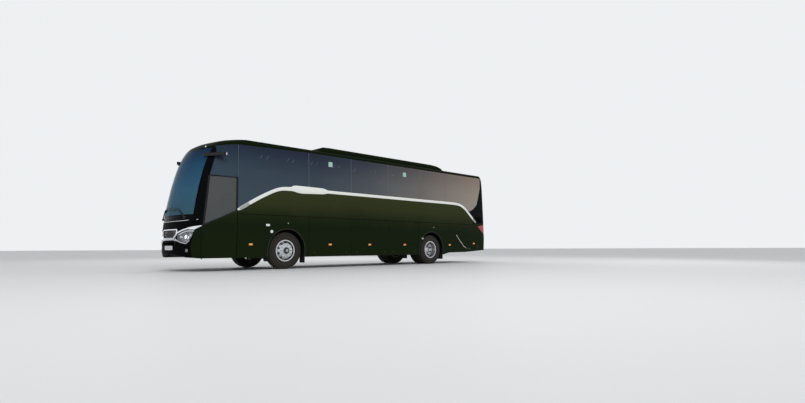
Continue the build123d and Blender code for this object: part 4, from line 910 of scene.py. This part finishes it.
for side, word in sides:
    parts = [addBadge("plate", x, z, size, 0.006, side, 0.002) for x, z, *size in labels["plates"]]
    if side < 0:
        x, z, radius = labels["round"]
        parts.append(addDrum("round", spot(x, side * (sideY(z) + 0.003), z), "y", radius, 0.012))
    for x, z in labels["dots"]:
        parts.append(addDrum("dot", spot(x, side * (sideY(z) + 0.002), z), "y", 0.012, 0.01, 16))
    group("sideLabels_" + word, parts, "whiteLabel")
    size = labels["sticker"]
    parts = [addBadge("sticker", x, z, (size, size), 0.0015, side) for x, z in labels["stickers"]]
    group("stickers_" + word, parts, "sticker")
    starts = (0.734, 2.34, 3.946, 5.4)[:4 if side < 0 else 3]
    for i, (start, end) in enumerate(zip(starts, starts[1:])):
        body = "luggage_flap_" + word + "_" + str(i + 1)
        addLocks("flapLocks_" + body, body, [(x, labels["lockZ"]) for x in (
            start + labels["lockInset"], end - labels["lockInset"])], side)

# Engine side flap: a bright edge along its slanted front, and two locks
flapEdge = {"line": ((7.488, 1.09), (7.59, 0.965), (7.71, 0.845), (7.87, 0.7), (8.0, 0.605), (8.085, 0.57)),
            "radius": 0.009}
for side, word in sides:
    line = [(fromAxle(x + 0.02), side * (sideY(z) - 0.001), z) for x, z in flapEdge["line"]]
    edge = addRod("flapEdge_" + word, line, flapEdge["radius"], 2)
    settle(edge, "silver", "engine_flap_" + word, 60)
    addLocks("engineLocks_" + word, "engine_flap_" + word, labels["engineLocks"], side)

# Air intake with slats behind the last pane
louvre = {"x": (8.6, 9.1), "z": (1.578, 1.812), "slats": 7}
for side, word in sides:
    (x0, x1), (z0, z1) = louvre["x"], louvre["z"]
    parts = []
    middle = (z0 + z1) / 2
    for i in range(louvre["slats"]):
        z = z0 + (i + 0.5) * (z1 - z0) / louvre["slats"]
        parts.append(addBadge("slat", (x0 + x1) / 2, z, (x1 - x0 - 0.03, 0.015), 0.012, side, 0.003))
    for z in (z0, z1):
        parts.append(addBadge("rail", (x0 + x1) / 2, z, (x1 - x0, 0.014), 0.014, side, 0.003))
    for x in (x0, x1):
        parts.append(addBadge("post", x, middle, (0.014, z1 - z0), 0.014, side, 0.003))
    parts.append(addBadge("back", (x0 + x1) / 2, middle, (x1 - x0, z1 - z0), 0.004, side))
    group("airIntake_" + word, parts, "blackMoulding")
print("labels, locks and intakes set")

# The pale belt: a smooth band along its middle line, given as (along, height, half width)
belt = {"thick": 0.0078, "line": (
    (-1.507, 1.611, 0.03), (-1.46, 1.638, 0.043), (-1.34, 1.707, 0.047), (-1.184, 1.798, 0.047),
    (-1.018, 1.896, 0.047), (-0.846, 1.991, 0.047), (-0.672, 2.082, 0.047), (-0.52, 2.155, 0.047),
    (-0.39, 2.211, 0.047), (-0.28, 2.248, 0.048), (-0.17, 2.272, 0.05), (-0.06, 2.283, 0.052),
    (0.06, 2.287, 0.055), (0.14, 2.292, 0.06), (0.19, 2.306, 0.078), (0.24, 2.311, 0.089),
    (0.34, 2.301, 0.101), (0.42, 2.295, 0.108), (0.525, 2.294, 0.11), (0.83, 2.3, 0.101),
    (1.13, 2.305, 0.093), (1.24, 2.305, 0.088), (1.32, 2.305, 0.074), (1.38, 2.301, 0.056),
    (1.44, 2.299, 0.046), (2.2, 2.298, 0.046), (3.4, 2.298, 0.046), (4.6, 2.297, 0.046),
    (5.8, 2.296, 0.046), (6.9, 2.296, 0.046), (7.3, 2.294, 0.046), (7.48, 2.29, 0.046),
    (7.64, 2.28, 0.046), (7.79, 2.256, 0.046), (7.92, 2.216, 0.046), (8.04, 2.158, 0.046),
    (8.16, 2.079, 0.045), (8.28, 1.984, 0.044), (8.42, 1.866, 0.043), (8.58, 1.735, 0.041),
    (8.76, 1.592, 0.038))}


def addBand(name, line, thick, side):
    # a chain along the middle line is drawn out into a strip, laid on the side wall and thickened
    chain = addChain(name, [spot(x, side * sideY(z), z) for x, z, half in line])
    edit(chain)
    bpy.ops.mesh.extrude_region_move(TRANSFORM_OT_translate={"value": (0, 0, 0.01)})
    leave()
    count = len(line)
    for i, (x, z, half) in enumerate(line):
        before, after = line[max(0, i - 1)], line[min(count - 1, i + 1)]
        run, rise = after[0] - before[0], after[1] - before[1]
        length = math.hypot(run, rise)
        for vertex, way in ((chain.data.vertices[i], -1), (chain.data.vertices[i + count], 1)):
            px, pz = x - way * half * rise / length, z + way * half * run / length
            vertex.co = spot(px, side * (sideY(pz) - 0.001), pz)
    edit(chain, "FACE")
    bpy.ops.mesh.extrude_region_move(TRANSFORM_OT_translate={"value": (0, side * (thick + 0.001), 0)})
    bpy.ops.mesh.select_all(action="SELECT")
    bpy.ops.mesh.normals_make_consistent(inside=False)
    leave()
    only(chain)
    modify(chain, "BEVEL", width=0.0025, segments=2)
    return chain


for side, word in sides:
    strip = addBand("belt_" + word, belt["line"], belt["thick"], side)
    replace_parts(settle(strip, "silver"), "belt_strips")
print("belts laid")

# Rubber beads round the driver's window and the doors
beads = {"driver": ((-2.404, 1.178), (-2.33, 1.86), (-2.255, 2.474), (-1.53, 2.478), (-1.53, 1.573)),
         "frontDoor": ((-2.434, 0.35), (-2.434, 1.16), (-2.406, 1.408), (-2.264, 2.343), (-2.224, 2.484),
                       (-1.521, 2.484), (-1.521, 0.35)),
         "midDoor": ((4.056, 0.35), (4.056, 2.209), (4.944, 2.209), (4.944, 0.35)), "radius": 0.007}
leftNames = ("side_windows_left", "side_frame_left", "front_frame")
seal = addSkinLine("driverWindowSeal", leftNames, beads["driver"], -1, 0.01, -0.002)
settle(seal, "flapRubber", angle=60)
for name, body, places in (("frontDoorSeal", "front_door", beads["frontDoor"]),
                           ("midDoorSeal", "mid_door", beads["midDoor"])):
    inset = [(x + (0.008 if x < (places[0][0] + places[-1][0]) / 2 else -0.008), z) for x, z in places]
    seal = addSkinLine(name, (body, body + "_glass"), inset, 1, beads["radius"], -0.006)
    settle(seal, "flapRubber", body, 60)

# Door handles and the inner grab rails that turn with the doors
for body, x, z in (("front_door", -1.66, 1.0), ("mid_door", 4.2, 1.05)):
    grip = addBadge("grip", x, z, (0.14, 0.05), 0.012, 1, 0.006)
    settle(grip, "blackPlastic", body)
    grip.name = "doorGrip_" + body
    rail = addRod("rail", [spot(x, sideY(1.3) - inset, z) for inset, z in (
        (0.055, 1.12), (0.085, 1.16), (0.095, 1.7), (0.065, 1.74))], 0.013, 3)
    settle(rail, "steel", body, 60)
    rail.name = "doorRail_" + body
print("window and door seals set")

# Small pale rods as painted highlights: glints of the cabin's lamps near the top of the panes, left and right
# alike
glints = {"places": ((-0.833, 3.123), (-0.635, 3.115), (0.014, 3.128), (0.198, 3.123), (0.836, 3.129),
                     (1.018, 3.129), (1.663, 3.123), (1.869, 3.15), (2.488, 3.1), (3.174, 3.12),
                     (3.39, 3.14), (4.2, 3.1)), "run": 0.035, "rise": 0.05, "radius": 0.0045}
for side, word in sides:
    marks = []
    for x, z in glints["places"]:
        ends = [(x - glints["run"], z - glints["rise"]), (x + glints["run"], z + glints["rise"])]
        marks.append(addRod("glint", [spot(px, side * (sideY(pz) - 0.0035), pz) for px, pz in ends],
                            glints["radius"], 1))
    group("paneGlints_" + word, marks, "glint", angle=60)

# Headlamps: a bowl behind each clear lens, a projector, a second lamp and a bright line along the brow
lampSizes = {"projector": (0.80, 0.885, 0.062), "second": (0.965, 0.925, 0.045), "inner": (0.61, 0.885, 0.04),
             "fog": (0.859, 0.54), "browLine": ((0.56, 0.945), (0.7, 0.998), (0.893, 1.036), (1.05, 1.03))}
lensObject = nodes["headlamps"]


def noseX(y, z):
    fronts = [skins[name] for name in ("front_mask", "front_bumper", "front_frame", "windscreen", "roof")]
    found = hit([lensObject] + fronts, (-8.0, y, z), (1, 0, 0))
    return found[0].x


bowl = copyOf(lensObject, "lampBowls", (0.062, 0, 0))
copyMesh(bowl)
settle(bowl, "reflector")
for side, word in sides:
    rings, glows = [], []
    for y, z, radius in (lampSizes["projector"], lampSizes["second"], lampSizes["inner"]):
        x = noseX(side * y, z)
        profile = [(0.055, radius * 1.12), (0.028, radius * 1.18), (0.022, radius * 1.08), (0.03, radius),
                   (0.055, radius * 0.9)]
        rings.append(addLathe("ring", (x, side * y, z), profile, 32, "x"))
        deselect()
        bpy.ops.mesh.primitive_uv_sphere_add(segments=28, ring_count=14, radius=radius * 0.92,
                                             location=(x + 0.068, side * y, z))
        glows.append(named("glow"))
    group("lampRings_" + word, rings, "chrome", angle=40)
    group("lampGlow_" + word, glows[:1], "lamp", angle=60)
    group("lampGlass_" + word, glows[1:], "whiteLens", angle=60)
    line = [(noseX(side * y, z) + 0.014, side * y, z) for y, z in lampSizes["browLine"]]
    settle(addRod("daylight_" + word, line, 0.011, 2), "whiteLens", angle=60)
    y, z = side * lampSizes["fog"][0], lampSizes["fog"][1]
    x = noseX(y, z)
    profile = [(0.04, 0.046), (0.012, 0.046), (0.004, 0.042), (0.012, 0.036), (0.04, 0.03)]
    settle(addLathe("fogRing_" + word, (x, y, z), profile, 28, "x"), "reflector", angle=40)
    bulb = addDrum("fogBulb_" + word, (x + 0.035, y, z), "x", 0.03, 0.01, 24)
    settle(bulb, "whiteLens")
print("lamps fitted")

# Grille: a sheet of crossed wires behind the slats, and two rails at the plate
mesh = {"halfWidth": 0.43, "z": (0.87, 1.06), "widestZ": 0.96, "cell": 0.026, "thick": 0.004, "wire": 0.003}
wires = []
x = noseX(0.0, 1.12) + 0.03
z, high = mesh["z"]
while z < high:
    half = mesh["halfWidth"] - abs(mesh["widestZ"] - z)
    wires.append(addBlock("wire", (x, -half, z), (x + mesh["thick"], half, z + mesh["wire"])))
    z += mesh["cell"]
for i in range(-16, 17):
    y = i * mesh["cell"]
    end = (x + mesh["thick"], y + mesh["wire"], high - 0.005)
    wires.append(addBlock("wire", (x, y, mesh["z"][0]), end))
group("grilleMesh", wires, "steel", slotName="black_plastic")
x = noseX(0, 0.606)
border = [addBlock("edge", (x - 0.002, -0.262, z - 0.004), (x + 0.006, 0.262, z + 0.004))
          for z in (0.55, 0.662)]
group("plateBorder", border, "blackPlastic")

# Wipers: a spring and a cap on each arm, a bright bead along the mask's upper edge, its pale silver partly a
# painted highlight of that edge, and two marker lamps
wiperLines = {"arms": (((-0.747, 1.39), (-0.60, 1.485), (-0.401, 1.612)),
                       ((0.89, 1.39), (0.72, 1.515), (0.545, 1.64))),
              "edge": ((-1.13, 1.325), (-0.95, 1.315), (-0.6, 1.3), (-0.2, 1.293), (0.2, 1.293), (0.6, 1.3),
                       (0.95, 1.315), (1.13, 1.325)), "topLamp": (0.654, 3.299)}
arms = []
for points in wiperLines["arms"]:
    arms.append(addRod("spring", [(noseX(y, z) - 0.034, y, z) for y, z in points], 0.008, 2))
    y, z = points[0]
    arms.append(addDrum("cap", (noseX(y, z) - 0.03, y, z), "x", 0.03, 0.02, 24))
group("wiperArms", arms, "blackPlastic", angle=60)
line = addRod("maskEdge", [(noseX(y, z) - 0.001, y, z) for y, z in wiperLines["edge"]], 0.009, 2, True)
settle(line, "silver", angle=60, slotName="chrome")
y, z = wiperLines["topLamp"]
lamps = [addDrum("lamp", (noseX(way * y, z) + 0.002, way * y, z), "x", 0.024, 0.02, 20) for way in (-1, 1)]
group("topLamps", lamps, "whiteLens")

# Camera arms: a pale cap on each tip and a lens that looks back
camera = {"tip": (-1.975, 1.418), "z": (3.0, 3.068), "halfWidth": 0.022}
for side, word in sides:
    x, y = fromAxle(camera["tip"][0]), side * camera["tip"][1]
    (low, high), half = camera["z"], camera["halfWidth"]
    cap = addBlock("cameraCap_" + word, (x - 0.012, y - half, low - 0.002),
                   (x + 0.052, y + half, high + 0.002), 0.008, 3)
    settle(cap, "whiteLabel", slotName="black_plastic")
    # the lens takes the glowing screen finish: painted light on a part that is no lamp
    eye = addDrum("cameraLens_" + word, (x + 0.054, y, (low + high) / 2), "x", 0.012, 0.008, 20)
    settle(eye, "screen", slotName="clear_lens")
print("front fitted")

# Wheels: nuts, hub cap and valve on every visible face
nutRing = {"radius": 0.1675, "nut": 0.0165, "count": 10}
capProfile = ((0.0, 0.092), (0.012, 0.09), (0.024, 0.078), (0.03, 0.05), (0.031, 0.0))
centreProfile = ((0.0, 0.042), (0.006, 0.038), (0.008, 0.02), (0.008, 0.0))
for side, word in sides:
    for axle, body, faceY, depth, look in ((frontAxle, "front_wheel_" + word, 1.225, 0.026, "hubPaint"),
                                           (rearAxle, "rear_wheels_" + word, 0.934, 0.094, "wheelMetal")):
        parts = []
        for i in range(nutRing["count"]):
            turn = math.tau * i / nutRing["count"]
            x, z = axle.x + nutRing["radius"] * math.cos(turn), axle.z + nutRing["radius"] * math.sin(turn)
            parts.append(addDrum("nut", (x, side * (faceY + 0.012), z), "y", nutRing["nut"], 0.034, 6))
            parts.append(addDrum("stud", (x, side * (faceY + 0.034), z), "y", nutRing["nut"] * 0.5, 0.02, 12))
        group("wheelNuts_" + body, parts, "steel", body, 25)
        cap = addLathe("hubCap_" + body, (axle.x, side * (faceY + depth - 0.002), axle.z),
                       [(side * u, r) for u, r in capProfile], 40)
        settle(cap, look, body, 40, slotName="wheel_aluminium")
        centre = addLathe("hubCentre_" + body, (axle.x, side * (faceY + depth + 0.026), axle.z),
                          [(side * u, r) for u, r in centreProfile], 32)
        settle(centre, "steel", body, 40)
        valve = addRod("valve_" + body, [(axle.x + 0.262, side * (faceY - 0.06), axle.z),
                                         (axle.x + 0.25, side * (faceY - 0.01), axle.z)], 0.004, 2)
        settle(valve, "steel", body, 60)
print("wheels dressed")

# Seats: padded cushions and backs in pairs, on pedestals, with a plastic shell behind each back
seatSizes = {"floor": 1.38, "rows": 11, "start": -0.7, "pitch": 0.8, "outer": 1.14, "aisle": 0.24,
             "recline": 8.5, "skipped": (3.43, 4.95), "driver": (-2.045, 0, 0.93), "driverOuter": 0.89,
             "driverWidth": 0.5}
padSizes = {"insets": (0.055, 0.012, 0.05), "raise": 0.014, "bevel": 0.006}


def addPad(name, centre, size, tilt, facing):
    # a stuffed block with a raised panel on the face that looks the given way, for a cushion or a back
    deselect()
    bpy.ops.mesh.primitive_cube_add(size=1, location=(0, 0, 0))
    piece = named(name)
    piece.scale = size
    applyPlace()
    pickFaces(piece, lambda face: face.normal.dot(facing) > 0.9)
    for inset in padSizes["insets"]:
        bpy.ops.mesh.inset(thickness=inset)
    bpy.ops.transform.translate(value=facing * padSizes["raise"])
    leave()
    edit(piece, "EDGE")
    bpy.ops.mesh.bevel(offset=padSizes["bevel"], segments=1, affect="EDGES")
    leave()
    only(piece)
    modify(piece, "SUBSURF", levels=2)
    piece.rotation_euler = (0, math.radians(tilt), 0)
    piece.location = centre
    applyPlace()
    return piece


def addSeatPair(name, width, count, outerY, sign):
    # origin at the front edge of the cushion, on the floor; returns the pads and the hard pieces
    pads, shells = [], []
    each = width / count
    up, ahead = Vector((0, 0, 1)), Vector((-1, 0, 0))
    for i in range(count):
        y = sign * (outerY - each * (i + 0.5))
        for part, centre, size, tilt, facing in (
                ("cushion", (0.24, y, 0.405), (0.46, each - 0.012, 0.125), -2, up),
                ("back", (0.487, y, 0.80), (0.095, each - 0.016, 0.64), seatSizes["recline"], ahead),
                ("head", (0.512, y, 1.045), (0.075, each - 0.11, 0.15), seatSizes["recline"], ahead)):
            pads.append(addPad(part, centre, size, tilt, facing))
        half = each / 2 - 0.012
        shell = addBlock("shell", (-0.012, y - half, -0.33), (0.012, y + half, 0.31), 0.01, 2)
        shell.rotation_euler = (0, math.radians(seatSizes["recline"]), 0)
        shell.location = (0.545, 0, 0.79)
        only(shell)
        applyPlace()
        shells.append(shell)
        grip = [(0.62, y - 0.12, 1.085), (0.645, y - 0.12, 1.1),
                (0.645, y + 0.12, 1.1), (0.62, y + 0.12, 1.085)]
        shells.append(addRod("handle", grip, 0.01, 2))
    low, high = sorted((sign * outerY, sign * (outerY - width)))
    armY = sign * (outerY - width + 0.02)
    for part, start, end, bevel, segments in (
            ("foot", (0.16, low + 0.14, 0.0), (0.4, low + 0.2, 0.35), 0.008, 2),
            ("foot", (0.16, high - 0.2, 0.0), (0.4, high - 0.14, 0.35), 0.008, 2),
            ("beam", (0.1, low + 0.04, 0.3), (0.14, high - 0.04, 0.345), 0.006, 2),
            ("beam", (0.4, low + 0.04, 0.3), (0.44, high - 0.04, 0.345), 0.006, 2),
            ("arm", (0.13, armY - 0.022, 0.62), (0.47, armY + 0.022, 0.66), 0.012, 3)):
        shells.append(addBlock(part, start, end, bevel, segments))
    return joined(name + "Pads", pads), joined(name + "Frame", shells)


def placeSeat(name, pads, frameWork, move):
    pad = copyOf(pads, name, move)
    settle(pad, "seatCloth", angle=0)
    only(pad)
    bpy.ops.object.shade_smooth()
    return copyOf(frameWork, "frame", move)


hard = []
for sign, word in sides:
    pads, frameWork = addSeatPair("seat", seatSizes["outer"] - seatSizes["aisle"], 2, seatSizes["outer"], sign)
    for row in range(seatSizes["rows"]):
        x = seatSizes["start"] + seatSizes["pitch"] * row
        if sign < 0 or not seatSizes["skipped"][0] < x < seatSizes["skipped"][1]:
            place = spot(x, 0, seatSizes["floor"])
            hard.append(placeSeat("seatPads_" + word + str(row + 1), pads, frameWork, place))
    for piece in (pads, frameWork):
        bpy.data.objects.remove(piece)
pads, frameWork = addSeatPair("driver", seatSizes["driverWidth"], 1, seatSizes["driverOuter"], -1)
hard.append(placeSeat("driverSeatPads", pads, frameWork, spot(*seatSizes["driver"])))
for piece in (pads, frameWork):
    bpy.data.objects.remove(piece)
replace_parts(group("seatFrames", hard, "darkTrim"), "seats")
print("seats upholstered")

# Cockpit: instruments, screens, switches and vents under a hooded binnacle, and grab rails
cockpit = {"binnacle": (-2.44, -0.64, 1.385), "screen": (-2.35, -0.2, 1.24), "switches": (-2.35, -0.02, 1.19),
           "vents": (-2.36, (-0.93, 0.42), 1.2), "frontRail": (-1.56, 0.5), "midRail": (4.02, 0.5)}
x, y, z = spot(*cockpit["binnacle"])
hood = addBlock("binnacle", (x - 0.1, y - 0.26, z - 0.04), (x + 0.08, y + 0.26, z + 0.06), 0.025, 3)
settle(hood, "darkTrim")
dials = [addDrum("dial", (x + 0.083, y + dy, z + 0.005), "x", 0.045, 0.006, 32) for dy in (-0.13, 0.13)]
dials.append(addBlock("panel", (x + 0.081, y - 0.06, z - 0.025), (x + 0.086, y + 0.06, z + 0.04)))
x, y, z = spot(*cockpit["screen"])
dials.append(addBlock("centre", (x, y - 0.13, z - 0.07), (x + 0.01, y + 0.13, z + 0.07), 0.004))
group("instruments", dials, "screen")
switches = []
x, y, z = spot(*cockpit["switches"])
for i in range(6):
    for j in range(2):
        at, low = y + 0.055 * i, z + 0.05 * j
        switches.append(addBlock("switch", (x, at, low), (x + 0.012, at + 0.038, low + 0.032), 0.003))
x, starts, z = cockpit["vents"]
for y in starts:
    for i in range(4):
        low = z + 0.022 * i
        switches.append(addBlock("vent", spot(x, y, low), spot(x + 0.02, y + 0.16, low + 0.008)))
group("switches", switches, "blackPlastic", slotName="trim_plastic")
x, y = cockpit["frontRail"]
lines = [[spot(x, y, 0.95), spot(x, y, 1.85), spot(x + 0.06, y, 1.95), spot(x + 0.12, y, 2.0)]]
x, y = cockpit["midRail"]
lines.append([spot(x, y, 1.4), spot(x, y, 2.3), spot(x, 1.12, 2.3)])
group("grabRails", [addRod("rail", line, 0.016, 3) for line in lines], "steel", angle=60)
reading = []
for sign, word in sides:
    for row in range(seatSizes["rows"]):
        for dx in (0.25, 0.38):
            x = seatSizes["start"] + seatSizes["pitch"] * row + dx
            reading.append(addDrum("spot", spot(x, sign * 0.92, 2.962), "z", 0.018, 0.012, 16))
group("readingLamps", reading, "lamp")
print("cockpit and cabin fitted")

# Roof: fans of the air unit and two escape hatches
roofSizes = {"fans": (2.6, 3.4, 4.2, 5.0), "fanZ": 3.756, "rings": (0.06, 0.11, 0.16, 0.205), "bars": 8,
             "bar": 0.24, "hatches": (0.3, 8.0), "hatchHalf": 0.36, "hatchZ": (3.56, 3.62)}
edit(skins["roof_unit"])
bpy.ops.transform.translate(value=(0, 0, -0.008))
leave()
fans, wells = [], []
for x in roofSizes["fans"]:
    z = roofSizes["fanZ"]
    rim = [(0.0, 0.25), (0.01, 0.25), (0.012, 0.244), (0.01, 0.236), (0.0, 0.236)]
    fans.append(addLathe("rim", spot(x, 0, z), rim, 48, "z"))
    for radius in roofSizes["rings"]:
        ring = [(0.0, radius), (0.008, radius), (0.008, radius - 0.006), (0.0, radius - 0.006)]
        fans.append(addLathe("ring", spot(x, 0, z + 0.002), ring, 40, "z"))
    for i in range(roofSizes["bars"]):
        turn = math.tau * i / roofSizes["bars"]
        end = spot(x + roofSizes["bar"] * math.cos(turn), roofSizes["bar"] * math.sin(turn), z + 0.008)
        fans.append(addRod("bar", [spot(x, 0, z + 0.008), end], 0.003, 1))
    wells.append(addDrum("well", spot(x, 0, z + 0.001), "z", 0.236, 0.012, 48))
group("roofFans", fans, "blackPlastic", angle=40)
group("fanWells", wells, "flapRubber", slotName="black_plastic")
half, (low, high) = roofSizes["hatchHalf"], roofSizes["hatchZ"]
hatches = [addBlock("hatch", spot(x - half, -half, low), spot(x + half, half, high), 0.02, 3)
           for x in roofSizes["hatches"]]
group("roofHatches", hatches, "green")

# Back: blank plate, brake lamp, reflectors, camera and exhaust; underneath, shafts and air tanks
tail = {"plate": (0.52, 0.11, 0.63), "brake": (-0.31, -0.15, 0, 0.15, 0.31), "brakeZ": 3.29,
        "reflector": (0.78, 0.535), "lampBands": (1.17, 1.29, 1.4), "lampY": (1.03, 1.08, 1.13, 1.17),
        "cameraZ": 3.36}
tailNames = ("rear_wall", "engine_lid", "rear_bumper", "rear_window", "roof")


def tailX(y, z):
    found = hit([skins[name] for name in tailNames], (9.0, y, z), (-1, 0, 0))
    return found[0].x if found else fromAxle(9.4)


width, height, z = tail["plate"]
x = tailX(0, z)
back = addBlock("rearPlate", (x - 0.004, -width / 2, z - height / 2),
                (x + 0.004, width / 2, z + height / 2), 0.002)
settle(back, "plate", "engine_lid")
z = tail["brakeZ"]
brake = addRod("brakeLamp", [(tailX(y, z) + 0.001, y, z) for y in tail["brake"]], 0.011, 2)
settle(brake, "redLens", angle=60)
reflectors = []
for side, word in sides:
    y, z = side * tail["reflector"][0], tail["reflector"][1]
    x = tailX(y, z)
    reflectors.append(addBlock("reflector", (x - 0.006, y - 0.06, z - 0.017),
                               (x + 0.008, y + 0.06, z + 0.017), 0.003))
    bands = []
    for z in tail["lampBands"]:
        line = [(tailX(side * y, z) + 0.001, side * y, z) for y in tail["lampY"]]
        bands.append(addRod("band", line, 0.004, 1))
    group("tailLampBands_" + word, bands, "chrome", angle=60)
# the reflectors take the red lens finish, so they glow faintly though they are no lamps: painted light
group("rearReflectors", reflectors, "redLens")
z = tail["cameraZ"]
view = addDrum("rearCamera", (tailX(0, z) + 0.008, 0, z), "x", 0.022, 0.03, 24)
settle(view, "blackPlastic")
pipe = [spot(7.9, -0.62, 0.62), spot(8.6, -0.62, 0.6), spot(8.95, -0.66, 0.57), spot(9.12, -0.7, 0.53)]
settle(addRod("exhaust", pipe, 0.045, 4, True), "steel", angle=60, slotName="frame_paint")
under = [addRod("shaft", [spot(6.2, 0, 0.53), spot(7.55, 0, 0.7)], 0.045, 4),
         addDrum("silencer", spot(8.25, 0.66, 0.6), "x", 0.16, 0.9, 36)]
under += [addDrum("tank", spot(-1.1, y, 0.56), "x", 0.13, 0.6, 36) for y in (-0.75, 0.75)]
group("underbodyDrums", under, "framePaint", angle=40)
pin = addDrum("jackPin", spot(-2.42, -sideY(0.345) + 0.03, 0.335), "z", 0.014, 0.03, 16)
settle(pin, "blackPlastic")
print("roof, back and underside fitted")


# Stage: pale floor, soft lights, and the camera at the photograph's place
stage = {"floorSize": 260.0, "floorColour": (0.74, 0.745, 0.75), "sky": (0.93, 0.95, 0.97), "skyStrength": 0.62,
         "seenStrength": 0.92}
shot = {"place": (-7.740, -13.858, 0.584), "azimuth": 44.418, "pitch": 5.245, "roll": -0.222,
        "focalPixels": 505.869, "imageWidth": 805}


def addFloor():
    deselect()
    bpy.ops.mesh.primitive_circle_add(vertices=96, radius=stage["floorSize"], fill_type="NGON")
    floor = named("studioFloor")
    paint = Paint("studioFloor", stage["floorColour"], 0.55, specular=0.2)
    floor.data.materials.append(paint.material)


def addSky():
    # rays that reach the eye see a brighter sky than the one that lights the coach
    world = bpy.data.worlds.new("studioSky")
    bpy.context.scene.world = world
    world.use_nodes = True
    tree = world.node_tree
    for node in list(tree.nodes):
        tree.nodes.remove(node)
    blend = tree.nodes.new("ShaderNodeMixShader")
    for i, strength in ((1, stage["skyStrength"]), (2, stage["seenStrength"])):
        sky = tree.nodes.new("ShaderNodeBackground")
        sky.inputs["Color"].default_value = (*stage["sky"], 1)
        sky.inputs["Strength"].default_value = strength
        tree.links.new(sky.outputs[0], blend.inputs[i])
    path = tree.nodes.new("ShaderNodeLightPath")
    seen = path.outputs["Is Camera Ray"]
    for kind in ("Is Glossy Ray", "Is Transmission Ray"):
        most = tree.nodes.new("ShaderNodeMath")
        most.operation = "MAXIMUM"
        tree.links.new(seen, most.inputs[0])
        tree.links.new(path.outputs[kind], most.inputs[1])
        seen = most.outputs[0]
    tree.links.new(seen, blend.inputs[0])
    out = tree.nodes.new("ShaderNodeOutputWorld")
    tree.links.new(blend.outputs[0], out.inputs[0])


def addLight(name, place, target, size, power):
    deselect()
    bpy.ops.object.light_add(type="AREA", location=place)
    lamp = bpy.context.active_object
    lamp.name = name
    lamp.data.shape = "RECTANGLE"
    lamp.data.size, lamp.data.size_y = size
    lamp.data.energy = power
    lamp.rotation_euler = (Vector(target) - Vector(place)).to_track_quat("-Z", "Y").to_euler()
    lamp.visible_glossy = False


def addCamera():
    azimuth, pitch, roll = (math.radians(shot[key]) for key in ("azimuth", "pitch", "roll"))
    ahead = math.cos(pitch)
    forward = Vector((math.sin(azimuth) * ahead, math.cos(azimuth) * ahead, math.sin(pitch)))
    level = Vector((math.cos(azimuth), -math.sin(azimuth), 0))
    upright = level.cross(forward)
    right = math.cos(roll) * level + math.sin(roll) * upright
    up = -math.sin(roll) * level + math.cos(roll) * upright
    bpy.ops.object.camera_add()
    camera = bpy.context.active_object
    camera.name = "photoCamera"
    camera.data.sensor_width = 36.0
    camera.data.lens = shot["focalPixels"] / shot["imageWidth"] * camera.data.sensor_width
    camera.data.clip_end = 600
    turn = Matrix((right, up, -forward)).transposed()
    place = Vector((fromAxle(shot["place"][0]), shot["place"][1], shot["place"][2]))
    camera.matrix_world = Matrix.Translation(place) @ turn.to_4x4()
    bpy.context.scene.camera = camera


addFloor()
addSky()
addLight("keyLight", (-9, -13, 11), (0, 0, 1.2), (9, 5), 900)
addLight("fillLight", (12, -9, 8), (2, 0, 1.5), (8, 4), 350)
addLight("backLight", (6, 13, 10), (0, 0, 1.5), (10, 5), 600)
addCamera()
bpy.context.scene.view_settings.view_transform = "Standard"
print("stage set")
